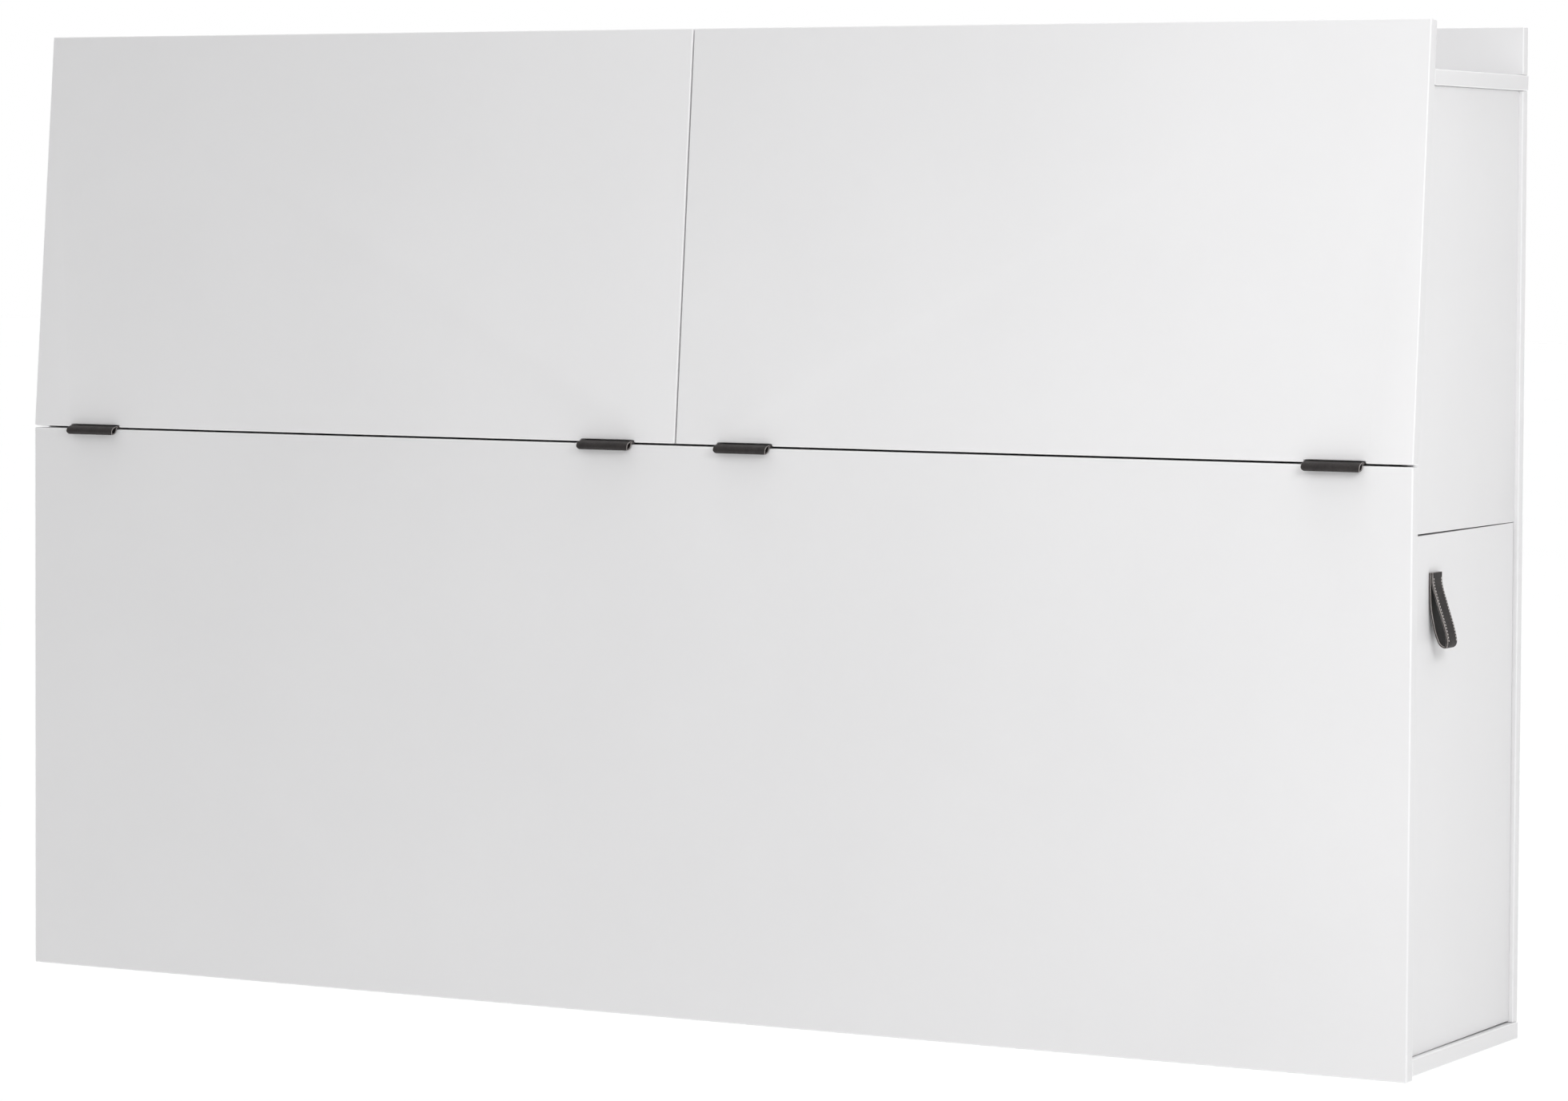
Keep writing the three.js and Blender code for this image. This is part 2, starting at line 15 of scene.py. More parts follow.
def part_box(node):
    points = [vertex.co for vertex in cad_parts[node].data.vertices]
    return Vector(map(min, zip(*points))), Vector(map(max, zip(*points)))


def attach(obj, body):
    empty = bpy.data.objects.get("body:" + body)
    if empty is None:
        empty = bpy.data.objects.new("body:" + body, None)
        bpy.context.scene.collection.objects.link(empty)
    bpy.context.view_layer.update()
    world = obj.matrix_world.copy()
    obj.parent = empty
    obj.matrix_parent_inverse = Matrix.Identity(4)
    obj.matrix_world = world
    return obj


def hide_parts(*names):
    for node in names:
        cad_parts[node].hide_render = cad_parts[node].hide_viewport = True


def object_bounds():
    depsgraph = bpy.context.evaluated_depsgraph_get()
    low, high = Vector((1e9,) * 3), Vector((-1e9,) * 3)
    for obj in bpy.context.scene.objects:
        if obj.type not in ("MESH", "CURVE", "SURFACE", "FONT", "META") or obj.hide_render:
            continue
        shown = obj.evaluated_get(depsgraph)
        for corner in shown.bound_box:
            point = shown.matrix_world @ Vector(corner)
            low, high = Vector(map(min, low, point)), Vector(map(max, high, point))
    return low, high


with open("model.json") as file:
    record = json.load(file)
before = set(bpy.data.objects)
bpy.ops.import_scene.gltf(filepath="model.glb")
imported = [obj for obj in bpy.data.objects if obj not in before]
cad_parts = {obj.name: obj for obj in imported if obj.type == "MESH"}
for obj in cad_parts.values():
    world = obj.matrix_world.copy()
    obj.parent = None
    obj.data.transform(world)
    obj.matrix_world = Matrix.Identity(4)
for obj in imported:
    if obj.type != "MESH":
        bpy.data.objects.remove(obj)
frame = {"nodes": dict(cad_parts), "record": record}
cad_low, cad_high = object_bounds()

MM = 0.001
BODIES = frame["record"]["behaviour"]["bodies"]
BODY_OF = {node: body for body, nodes in BODIES.items() for node in nodes}

PANEL_LOW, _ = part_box("bed_panel")
BASE = Vector((0.0, PANEL_LOW.y, PANEL_LOW.z))
SIDES = (("left", -1), ("right", 1))

# Sizes and places, in millimetres from BASE, that several pieces share.
FRONT_BOARD = 20
SIDE_OUTER = 1052
BACK_FACE = 373.7
WALL_FACE = 390
SHELF_UNDER = 778
SHELF_MIDDLE = 787
FLAP_BOTTOM = 775
FLAP_RISE = 557
FLAP_SETBACK = 46
FLAP_LEAN = math.atan2(FLAP_SETBACK, FLAP_RISE)


def at(x, y, z):
    """A point given in millimetres from the middle of the bed panel's lower front edge."""
    return BASE + Vector((x, y, z)) * MM


def lean_matrix():
    """From a flap's own upright frame, in metres, to its closed place."""
    return Matrix.Translation(at(0, 0, FLAP_BOTTOM)) @ Matrix.Rotation(-FLAP_LEAN, 4, "X")


# --- Materials ---


def feed(tree, socket, value):
    """Sets an input, or links it when the value is another node's output."""
    if isinstance(value, bpy.types.NodeSocket):
        tree.links.new(value, socket)
    else:
        socket.default_value = value


def add_node(tree, kind, **inputs):
    """A new shader node; an input's name is written with _ for each space."""
    node = tree.nodes.new("ShaderNode" + kind)
    for name, value in inputs.items():
        feed(tree, node.inputs[name.replace("_", " ")], value)
    return node


class Shader:
    """A Principled material, with short ways to add the textures that it needs."""

    def __init__(self, name, **sockets):
        self.material = bpy.data.materials.new(name)
        self.material.use_nodes = True
        self.tree = self.material.node_tree
        self.place = self.node("TexCoord").outputs["Object"]
        self.relief = None
        self.set(**sockets)

    def node(self, kind, **inputs):
        return add_node(self.tree, kind, **inputs)

    def set(self, **inputs):
        """Sets or links inputs of the surface."""
        for name, value in inputs.items():
            feed(self.tree, self.tree.nodes["Principled BSDF"].inputs[name.replace("_", " ")], value)

    def noise(self, scale, detail=3.0, stretch=(1, 1, 1), roughness=0.5, distortion=0.0):
        place = self.node("Mapping", Vector=self.place, Scale=stretch).outputs["Vector"]
        node = self.node("TexNoise", Vector=place, Scale=scale, Detail=detail,
                         Roughness=roughness, Distortion=distortion)
        return node.outputs["Fac"]

    def cells(self, scale, output="Distance"):
        return self.node("TexVoronoi", Vector=self.place, Scale=scale).outputs[output]

    def bands(self, scale, direction):
        node = self.node("TexWave", Vector=self.place, Scale=scale)
        node.bands_direction = direction
        return node.outputs["Fac"]

    def math(self, operation, a, b):
        node = self.node("Math")
        node.operation = operation
        feed(self.tree, node.inputs[0], a)
        feed(self.tree, node.inputs[1], b)
        return node.outputs[0]

    def blend(self, a, part_a, b, part_b):
        """The sum of two values, each taken in part."""
        return self.math("ADD", self.math("MULTIPLY", a, part_a), self.math("MULTIPLY", b, part_b))

    def ramp(self, value, stops):
        node = self.node("ValToRGB", Fac=value)
        elements = node.color_ramp.elements
        while len(elements) < len(stops):
            elements.new(0.5)
        for element, (position, colour) in zip(elements, stops):
            element.position = position
            element.color = (*colour, 1.0)
        return node.outputs["Color"]

    def between(self, value, low, high):
        return self.node("MapRange", Value=value, To_Min=low, To_Max=high).outputs["Result"]

    def mix(self, factor, a, b):
        """A colour between two others; the node's colour inputs are its seventh and eighth."""
        node = self.node("Mix")
        node.data_type = "RGBA"
        feed(self.tree, node.inputs[0], factor)
        for socket, value in ((node.inputs[6], a), (node.inputs[7], b)):
            feed(self.tree, socket, (*value, 1.0) if isinstance(value, tuple) else value)
        return node.outputs[2]

    def colour(self, value):
        self.set(Base_Color=value)

    def rough(self, value):
        self.set(Roughness=value)

    def bump(self, height, strength, distance):
        """Adds relief on top of the relief so far."""
        node = self.node("Bump", Height=height, Strength=strength, Distance=distance)
        if self.relief is not None:
            self.tree.links.new(self.relief, node.inputs["Normal"])
        self.relief = node.outputs["Normal"]
        self.set(Normal=self.relief)


def white_board(name, light, shade, gloss):
    """Sprayed board: almost even, with a faint orange peel and faint handling marks in the gloss."""
    made = Shader(name, Specular_IOR_Level=0.42)
    clouds = made.noise(scale=2.3, detail=4)
    made.colour(made.ramp(clouds, [(0.3, shade), (0.7, light)]))
    marks = made.noise(scale=11, detail=6, stretch=(1, 1, 0.6), distortion=1.2)
    made.rough(made.between(marks, gloss - 0.05, gloss + 0.07))
    made.bump(made.noise(scale=420, detail=2), strength=0.10, distance=0.0004)
    made.bump(made.noise(scale=38, detail=2), strength=0.05, distance=0.0010)
    return made.material


def leather(name, deep, worn, gloss):
    """Grained hide: small closed cells with pores, darker in the creases, worn a little lighter."""
    made = Shader(name, Specular_IOR_Level=0.35)
    grain = made.cells(scale=620)
    wear = made.noise(scale=45, detail=5, roughness=0.65)
    made.colour(made.ramp(made.blend(wear, 0.75, grain, 0.35), [(0.32, deep), (0.75, worn)]))
    made.rough(made.between(wear, gloss + 0.08, gloss - 0.08))
    made.bump(grain, strength=0.55, distance=0.0005)
    made.bump(made.noise(scale=1500, detail=4), strength=0.25, distance=0.0002)
    made.bump(made.noise(scale=90, detail=3), strength=0.25, distance=0.0012)
    return made.material


def zinc(name):
    """Zinc-plated sheet: faint crystals and fine rolling lines."""
    made = Shader(name, Metallic=1.0)
    crystals = made.cells(scale=150, output="Color")
    tone = made.noise(scale=240, detail=3)
    made.colour(made.mix(tone, (0.50, 0.51, 0.53), (0.68, 0.69, 0.71)))
    rolled = made.noise(scale=60, detail=4, stretch=(1, 14, 14))
    made.rough(made.between(made.blend(crystals, 0.4, rolled, 0.6), 0.24, 0.46))
    made.bump(rolled, strength=0.12, distance=0.0003)
    return made.material


def chrome(name):
    """Ground and chromed rod, with the faint rings that grinding leaves."""
    made = Shader(name, Metallic=1.0)
    rings = made.noise(scale=900, detail=2, stretch=(0.2, 1, 1))
    made.colour(made.mix(rings, (0.78, 0.79, 0.80), (0.88, 0.88, 0.89)))
    made.rough(made.between(rings, 0.07, 0.16))
    made.bump(rings, strength=0.04, distance=0.0001)
    return made.material


def powder(name, dark, light, gloss):
    """Powder-coated steel."""
    made = Shader(name, Specular_IOR_Level=0.5)
    made.colour(made.mix(made.noise(scale=70, detail=4), dark, light))
    made.rough(made.between(made.noise(scale=160, detail=3), gloss - 0.06, gloss + 0.08))
    made.bump(made.noise(scale=1300, detail=2), strength=0.30, distance=0.0003)
    return made.material


def wood(name, along, pale, deep):
    """Clear-lacquered wood, its grain running along one axis."""
    made = Shader(name, Specular_IOR_Level=0.4)
    stretch = tuple(0.06 if axis == along else 1.0 for axis in "XYZ")
    growth = made.noise(scale=75, detail=5, stretch=stretch, distortion=1.6)
    late = tuple(0.86 * channel for channel in pale)
    plain = made.ramp(growth, [(0.30, deep), (0.52, pale), (0.75, late)])
    tone = made.noise(scale=6, detail=3)
    made.colour(made.mix(made.between(tone, 0.0, 0.25), plain, deep))
    made.rough(made.between(growth, 0.42, 0.58))
    made.bump(made.noise(scale=700, detail=2, stretch=stretch), strength=0.20, distance=0.0003)
    made.bump(growth, strength=0.12, distance=0.0004)
    return made.material


def woven(name, base, thread, pitch_mm, directions=("X", "Z"), strength=0.5, sheen=0.0):
    """Cloth with its threads showing as small waves in two directions."""
    made = Shader(name, Specular_IOR_Level=0.2, Sheen_Weight=sheen, Sheen_Roughness=0.5)
    scale = math.pi / (10 * pitch_mm * MM)
    warp, weft = (made.bands(scale, direction) for direction in directions)
    threads = made.math("MAXIMUM", warp, weft)
    fuzz = made.noise(scale=300, detail=4)
    made.colour(made.mix(made.blend(threads, 0.45, fuzz, 0.55), thread, base))
    made.rough(made.between(fuzz, 0.78, 0.95))
    made.bump(threads, strength, distance=pitch_mm * 0.3 * MM)
    made.bump(fuzz, strength=0.2, distance=0.0006)
    return made.material


def plastic(name, base, gloss):
    """Moulded plastic with a fine texture."""
    made = Shader(name, Specular_IOR_Level=0.5)
    shade = tuple(0.9 * channel for channel in base)
    made.colour(made.mix(made.noise(scale=30, detail=3), shade, base))
    made.rough(made.between(made.noise(scale=90, detail=3), gloss - 0.05, gloss + 0.08))
    made.bump(made.noise(scale=900, detail=2), strength=0.08, distance=0.0002)
    return made.material


WHITE = white_board("white_board", (0.800, 0.797, 0.803), (0.778, 0.775, 0.781), 0.46)
# A lighter, glossier copy of the board paint for the eased edges: a painted highlight standing in for
# the light that the rounded edges catch.
WHITE_EDGE_HIGHLIGHT = white_board("white_board_edge_highlight", (0.860, 0.858, 0.864), (0.835, 0.833, 0.839), 0.36)
LEATHER = leather("dark_leather", (0.011, 0.009, 0.009), (0.031, 0.026, 0.025), 0.60)
# The straps' cut edges and rounded corners take this lighter leather: a painted highlight where the
# rounded corners catch the light.
LEATHER_EDGE_HIGHLIGHT = leather("leather_edge_painted_highlight", (0.22, 0.20, 0.19), (0.42, 0.39, 0.38), 0.5)
THREAD = woven("waxed_thread", (0.66, 0.62, 0.60), (0.44, 0.41, 0.40), 0.5, strength=0.6)
QUILT_THREAD = woven("quilting_thread", (0.42, 0.43, 0.46), (0.30, 0.31, 0.34), 0.5, strength=0.6)
ZINC = zinc("zinc_plated_steel")
CHROME = chrome("chromed_rod")
DARK_STEEL = powder("dark_painted_steel", (0.018, 0.019, 0.021), (0.032, 0.033, 0.036), 0.46)
BIRCH = wood("birch_rail", "X", (0.74, 0.58, 0.38), (0.58, 0.42, 0.25))
SLAT_WOOD = wood("slat_wood", "Z", (0.78, 0.62, 0.42), (0.62, 0.45, 0.27))
TICKING = woven("mattress_ticking", (0.70, 0.69, 0.66), (0.60, 0.60, 0.59), 2.8,
                strength=0.35, sheen=0.1)
PIPING = woven("mattress_piping", (0.52, 0.53, 0.56), (0.36, 0.37, 0.41), 0.9, ("X", "Y"))
WEBBING = woven("strap_webbing", (0.065, 0.066, 0.072), (0.025, 0.026, 0.029), 2.2, strength=0.9)
TAPE = woven("slat_tape", (0.60, 0.58, 0.54), (0.45, 0.43, 0.40), 1.6, strength=0.8)
RUBBER = plastic("clear_bumper", (0.62, 0.63, 0.64), 0.32)
WHITE_PLASTIC = plastic("white_plastic", (0.70, 0.70, 0.70), 0.40)
BLACK_PLASTIC = plastic("black_plastic", (0.022, 0.022, 0.024), 0.42)


# --- Making pieces ---

WELD_DISTANCE = 2e-6
FLAT_DEGREES = 0.3
EASED_DEGREES = 40
ALL_SMOOTH = 180
ROUND_SHARP = 80
SOFT_SHARP = 50
HEAD_SHARP = 40
TURNED_SHARP = 30
SPLINE_STEPS = 24


def finish_piece(obj, body, replaces=()):
    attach(obj, body)
    if replaces:
        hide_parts(*replaces)
    return obj


def object_from(shape, name, materials, sharp_degrees=35):
    """Turns a bmesh into an object, smooth except where its faces meet at a sharp angle."""
    shape.normal_update()
    sharp = math.radians(sharp_degrees)
    for face in shape.faces:
        face.smooth = True
    for edge in shape.edges:
        if len(edge.link_faces) == 2:
            edge.smooth = edge.calc_face_angle(0.0) < sharp
    mesh = bpy.data.meshes.new(name)
    shape.to_mesh(mesh)
    shape.free()
    for material in materials:
        mesh.materials.append(material)
    obj = bpy.data.objects.new(name, mesh)
    bpy.context.scene.collection.objects.link(obj)
    return obj


def cad_shape(node):
    """A CAD node's shape as a clean bmesh: whole flat faces instead of triangles."""
    shape = bmesh.new()
    shape.from_mesh(frame["nodes"][node].data)
    for face in shape.faces:
        face.material_index = 0
    bmesh.ops.remove_doubles(shape, verts=shape.verts, dist=WELD_DISTANCE)
    flat = math.radians(FLAT_DEGREES)
    bmesh.ops.dissolve_limit(shape, angle_limit=flat, verts=shape.verts, edges=shape.edges)
    return shape


def add_bevel(obj, width_mm, segments):
    bevel = obj.modifiers.new("eased_edges", "BEVEL")
    bevel.width = width_mm * MM
    bevel.segments = segments
    bevel.harden_normals = True
    return bevel


def eased(node, suffix, width_mm, materials, segments=3):
    """The CAD node's shape with its edges eased, standing in for the node."""
    obj = object_from(cad_shape(node), f"{node}_{suffix}", materials, ALL_SMOOTH)
    bevel = add_bevel(obj, width_mm, segments)
    bevel.limit_method = "ANGLE"
    bevel.angle_limit = math.radians(EASED_DEGREES)
    # The bevel's faces take the second material; on the white boards that is the lighter edge paint, a
    # painted highlight.
    if len(materials) > 1:
        bevel.material = 1
    return finish_piece(obj, BODY_OF[node], (node,))


def block(shape, low, high, material=0):
    """Adds a plain box between two corners given in millimetres."""
    made = bmesh.ops.create_cube(shape, size=1)["verts"]
    low, high = at(*low), at(*high)
    for vertex in made:
        vertex.co = Vector([low[i] if vertex.co[i] < 0 else high[i] for i in range(3)])
    for face in {face for vertex in made for face in vertex.link_faces}:
        face.material_index = material


def softened(shape, name, materials, width_mm, segments=2):
    """An object of blocks with their edges eased."""
    obj = object_from(shape, name, materials, ALL_SMOOTH)
    add_bevel(obj, width_mm, segments)
    return obj


def circle(count):
    """The cosine and sine of evenly spaced angles."""
    angles = [2 * math.pi * i / count for i in range(count)]
    return [(math.cos(angle), math.sin(angle)) for angle in angles]


def lathe(shape, start, end, profile, segments=40, material=0):
    """Adds a turned shape: profile is (distance from start, radius), in metres, along start to end."""
    along = (end - start).normalized()
    side = along.orthogonal().normalized()
    up = along.cross(side)
    rings = []
    for distance, radius in profile:
        centre = start + along * distance
        if radius <= 0:
            rings.append([shape.verts.new(centre)])
        else:
            points = [centre + (side * c + up * s) * radius for c, s in circle(segments)]
            rings.append([shape.verts.new(point) for point in points])
    for a, b in zip(rings, rings[1:]):
        for i in range(segments):
            j = (i + 1) % segments
            corners = [a[i % len(a)], a[j % len(a)], b[j % len(b)], b[i % len(b)]]
            unique = list(dict.fromkeys(corners))
            if len(unique) > 2:
                face = shape.faces.new(unique)
                face.material_index = material


def scaled(profile):
    """A lathe profile given in millimetres."""
    return [(distance * MM, radius * MM) for distance, radius in profile]


def catmull_rom(p0, p1, p2, p3, t):
    linear = (p2 - p0) * t
    square = (2 * p0 - 5 * p1 + 4 * p2 - p3) * t * t
    cube = (3 * p1 - p0 - 3 * p2 + p3) * t ** 3
    return 0.5 * (2 * p1 + linear + square + cube)


def smooth_line(points, steps):
    """Points on a Catmull-Rom line through the given points, evenly spaced along it."""
    given = [Vector(p) for p in points]
    ends = [given[0] * 2 - given[1], *given, given[-1] * 2 - given[-2]]
    dense = []
    for four in zip(ends, ends[1:], ends[2:], ends[3:]):
        dense += [catmull_rom(*four, k / SPLINE_STEPS) for k in range(SPLINE_STEPS)]
    dense.append(given[-1])
    lengths = [0.0]
    for a, b in zip(dense, dense[1:]):
        lengths.append(lengths[-1] + (b - a).length)
    found, k = [], 0
    for i in range(steps + 1):
        wanted = lengths[-1] * i / steps
        while k < len(lengths) - 2 and lengths[k + 1] < wanted:
            k += 1
        span = lengths[k + 1] - lengths[k]
        found.append(dense[k].lerp(dense[k + 1], (wanted - lengths[k]) / span if span > 0 else 0))
    return found


def evenly(line, most):
    """The same broken line with points added so that none are further apart than most."""
    found = [line[0]]
    for a, b in zip(line, line[1:]):
        parts = math.ceil((b - a).length / most)
        found += [a.lerp(b, i / parts) for i in range(1, parts + 1)]
    return found


# --- Straps ---

EDGE_ROUNDING = 0.42
EDGE_STEPS = 4
CREASE_REACH = 0.5
CREASE_DEPTH = 0.28
FACE_INSET = 1.2


def strip_profile(half, thickness, crease_mm, columns):
    """Rounded cut edges, a pressed crease beside each, and a flat middle.

    Each point is (across, out, material), and material 1 is the cut edge."""
    edge = thickness * EDGE_ROUNDING
    top = []
    for step in range(EDGE_STEPS + 1):
        angle = math.pi / 2 * step / EDGE_STEPS
        out = thickness / 2 - edge + edge * math.sin(angle)
        top.append((half - edge * (1 - math.cos(angle)), out, min(step, 1)))
    crease = crease_mm * MM
    if crease:
        for offset, depth in ((CREASE_REACH, 0), (0, CREASE_DEPTH), (-CREASE_REACH, 0)):
            top.append((half - crease + offset * MM, thickness / 2 - depth * MM, 0))
    left = [(-x, out, material) for x, out, material in reversed(top)]
    middle = half - crease - FACE_INSET * MM
    face = [(middle * (1 - 2 * i / columns), thickness / 2, 0) for i in range(columns + 1)]
    return top + face + left


def strip(shape, line, across, half_width, thickness, crease_mm=0.0, columns=6):
    """A strap swept along a line. half_width gives its half width at each point of the line."""
    rows = []
    for i, point in enumerate(line):
        before, after = line[max(i - 1, 0)], line[min(i + 1, len(line) - 1)]
        out = across.cross((after - before).normalized())
        outline = strip_profile(half_width(point), thickness, crease_mm, columns)
        ring = outline + [(x, -h, material) for x, h, material in reversed(outline)]
        rows.append([(shape.verts.new(point + across * x + out * h), part) for x, h, part in ring])
    for a, b in zip(rows, rows[1:]):
        for i in range(len(a)):
            j = (i + 1) % len(a)
            face = shape.faces.new((a[i][0], a[j][0], b[j][0], b[i][0]))
            face.material_index = 1 if a[i][1] and a[j][1] else 0
    for ring, flip in ((rows[0], True), (rows[-1], False)):
        corners = [vertex for vertex, _ in ring]
        face = shape.faces.new(list(reversed(corners)) if flip else corners)
        face.material_index = 1


def even_width(half_mm):
    """The half width of a strap that is equally wide all along."""
    return lambda point: half_mm * MM


STITCH_PITCH = 4.0
STITCH_LENGTH = 2.7
STITCH_RADIUS = 0.65


def stitches(shape, line, across, offset, out_offset):
    """Short thread stitches lying along a strap's face."""
    length, r = STITCH_LENGTH, STITCH_RADIUS
    start = [(0, 0), (r * 0.3, r * 0.7), (r, r)]
    bulge = start + [(length - distance, radius) for distance, radius in reversed(start)]
    profile = scaled(bulge)
    pitch = STITCH_PITCH * MM
    travelled, next_at = 0.0, pitch
    for a, b in zip(line, line[1:]):
        step = (b - a).length
        along = (b - a).normalized()
        half = along * (length / 2 * MM)
        shift = across * offset + across.cross(along) * out_offset
        while travelled + step >= next_at:
            centre = a.lerp(b, (next_at - travelled) / step) + shift
            lathe(shape, centre - half, centre + half, profile, 8)
            next_at += pitch
        travelled += step


# --- Screws ---

HEAD_PROFILE = ((1.0, 0.0), (0.96, 0.45), (0.80, 0.88), (0.62, 1.0))
HEAD_SEGMENTS = 20
RECESS_REACH = 0.50
RECESS_HALF = 0.11
RECESS_TAPER = 0.7
SPIN_STEP = 37


def cross_outline(arm, half):
    """The twelve corners of a cross."""
    quarter = [(arm, -half), (arm, half), (half, half)]
    corners = []
    for _ in range(4):
        corners += quarter
        quarter = [(-y, x) for x, y in quarter]
    return corners


def join_loops(shape, lower, upper):
    """Faces between two closed loops with the same number of vertices."""
    for i in range(len(lower)):
        j = (i + 1) % len(lower)
        shape.faces.new((lower[i], lower[j], upper[j], upper[i]))


def screw_template(radius, height, recess):
    """A screw head about the origin, its top at +height, with a cross recess; in millimetres."""
    shape = bmesh.new()

    def loop(points, z):
        return [shape.verts.new(Vector((x, y, z)) * MM) for x, y in points]

    rim = circle(HEAD_SEGMENTS)
    rings = [loop([(c * part * radius, s * part * radius) for c, s in rim], rise * height)
             for part, rise in HEAD_PROFILE]
    for lower, upper in zip(rings, rings[1:]):
        join_loops(shape, lower, upper)
    shape.faces.new(list(reversed(rings[0])))
    outline = cross_outline(radius * RECESS_REACH, radius * RECESS_HALF)
    top = loop(outline, height)
    floor = loop([(x * RECESS_TAPER, y * RECESS_TAPER) for x, y in outline], height - recess)
    bounds = [shape.edges.new((a, b)) for a, b in zip(top, top[1:] + top[:1])]
    bounds += [shape.edges.get((a, b)) for a, b in zip(rings[-1], rings[-1][1:] + rings[-1][:1])]
    bmesh.ops.triangle_fill(shape, use_beauty=True, use_dissolve=False, edges=bounds)
    join_loops(shape, top, floor)
    shape.faces.new(floor)
    bmesh.ops.recalc_face_normals(shape, faces=shape.faces)
    mesh = bpy.data.meshes.new("screw_template")
    shape.to_mesh(mesh)
    shape.free()
    return mesh


SCREWS = {
    "small": screw_template(2.6, 0.7, 0.9),
    "pan": screw_template(3.6, 1.8, 1.5),
    "large": screw_template(6.5, 3.2, 2.4),
    "cam": screw_template(7.5, 0.8, 1.6),
}


def fasteners(name, kind, places, body, material=ZINC):
    """One object of many screw heads: places are (point, direction the head faces)."""
    shape = bmesh.new()
    for index, (point, facing) in enumerate(places):
        turn = Vector(facing).to_track_quat("Z", "Y").to_matrix().to_4x4()
        spin = Matrix.Rotation(math.radians(SPIN_STEP * index % 90), 4, "Z")
        count = len(shape.verts)
        shape.from_mesh(SCREWS[kind])
        shape.verts.ensure_lookup_table()
        placed = Matrix.Translation(point) @ turn @ spin
        bmesh.ops.transform(shape, matrix=placed, verts=shape.verts[count:])
    finish_piece(object_from(shape, name, [material], HEAD_SHARP), body)


# --- Boards ---

# How wide the eased edge of each board is.
WHITE_BOARDS = {
    2.0: ("bed_panel", "flap_left", "flap_right"),
    1.4: ("top_board", "back_lip", "bottom_board"),
    1.2: ("side_door_left", "side_door_right"),
    1.0: ("upper_side_left", "upper_side_right", "back_board"),
    0.8: ("bay_shelf", "centre_divider", "front_post_left", "front_post_right"),
}
RAIL_EASE = 1.2


def make_boards():
    for width, nodes in WHITE_BOARDS.items():
        for node in nodes:
            # The eased edges get the lighter edge paint, a painted highlight.
            eased(node, "eased", width, [WHITE, WHITE_EDGE_HIGHLIGHT], 4 if width >= 2 else 3)
    for name, _ in SIDES:
        eased(f"hanging_rail_{name}", "eased", RAIL_EASE, [BIRCH])


# --- Leather ---

# The folds are seen from the side: (out, up), in millimetres.
PULL_FOLD = ((8, -1), (-1.5, -1), (-3.4, -4.6), (-6.2, -9), (-10.2, -10),
             (-13.6, -6.8), (-11.6, -2.4), (-6, 0.0), (-1, 0.7), (8, 0.7))
PULL_STEPS = 72
PULL_THICKNESS = 1.5
PULL_CORNER = 5
PULL_UNDER = 0.7
STRAP_FOLD = ((1.6, 0), (1.6, -22), (3.0, -45), (7.4, -68), (12.4, -84), (17.6, -92.4),
              (23.4, -93.4), (25.6, -86), (21.6, -68), (13.2, -42), (5.4, -16), (4.4, 0))
STRAP_STEPS = 110
STRAP_THICKNESS = 2.5
STRAP_CORNER = 7
STRAP_CREASE = 3.4
STRAP_GAP = 0.3
STITCHED_ABOVE = 6
STITCHED_BELOW = 4


def corner_width(half, corner, lowest):
    """A strap's half width near its fold, whose two corners are cut round."""

    def width(point):
        rise = min(max(point.z - lowest, 0.0), corner)
        return half - corner + math.sqrt(max(corner * corner - (corner - rise) ** 2, 0.0))

    return width


def make_pull(node):
    low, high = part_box(node)
    middle = Vector(((low.x + high.x) / 2, 0, 0))
    line = smooth_line([at(0, out, FLAP_BOTTOM + up) + middle for out, up in PULL_FOLD], PULL_STEPS)
    lowest = min(point.z for point in line) - PULL_UNDER * MM
    width = corner_width((high.x - low.x) / 2, PULL_CORNER * MM, lowest)
    shape = bmesh.new()
    strip(shape, line, Vector((1, 0, 0)), width, PULL_THICKNESS * MM, columns=16)
    # Its cut edges take the lighter edge leather, a painted highlight.
    obj = object_from(shape, f"{node}_hide", [LEATHER, LEATHER_EDGE_HIGHLIGHT], SOFT_SHARP)
    finish_piece(obj, BODY_OF[node], (node,))


def make_door_strap(name, side):
    node = f"door_strap_{name}"
    low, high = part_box(node)
    anchor = Vector((side * (SIDE_OUTER + STRAP_GAP) * MM, (low.y + high.y) / 2, high.z))
    fold = [anchor + Vector((side * out, 0, up)) * MM for out, up in STRAP_FOLD]
    line = smooth_line(fold, STRAP_STEPS)
    across = Vector((0, -1, 0))
    thickness = STRAP_THICKNESS * MM
    lowest = min(point.z for point in line) - thickness / 2
    half = (high.y - low.y) / 2
    shape = bmesh.new()
    width = corner_width(half, STRAP_CORNER * MM, lowest)
    strip(shape, line, across, width, thickness, STRAP_CREASE, columns=8)
    # Its cut edges take the lighter edge leather, a painted highlight.
    strap = object_from(shape, f"{node}_hide", [LEATHER, LEATHER_EDGE_HIGHLIGHT], SOFT_SHARP)
    finish_piece(strap, BODY_OF[node], (node,))
    from_z, to_z = lowest + STITCHED_ABOVE * MM, high.z - STITCHED_BELOW * MM
    outer = [point for point in line[len(line) // 2:] if from_z < point.z < to_z]
    out_offset = thickness / 2 * side_out(across, outer, side)
    thread = bmesh.new()
    for edge in (-1, 1):
        stitches(thread, outer, across, edge * (half - STRAP_CREASE * MM), out_offset)
    finish_piece(object_from(thread, f"{node}_stitching", [THREAD]), BODY_OF[node])


def side_out(across, line, side):
    """+1 or -1: which way along a strip's own normal is away from the cabinet."""
    along = (line[1] - line[0]).normalized()
    return 1 if across.cross(along).x * side > 0 else -1


def make_leather():
    for name, side in SIDES:
        make_door_strap(name, side)
        for place in ("inner", "outer"):
            make_pull(f"flap_pull_{name}_{place}")


# --- Ironmongery ---

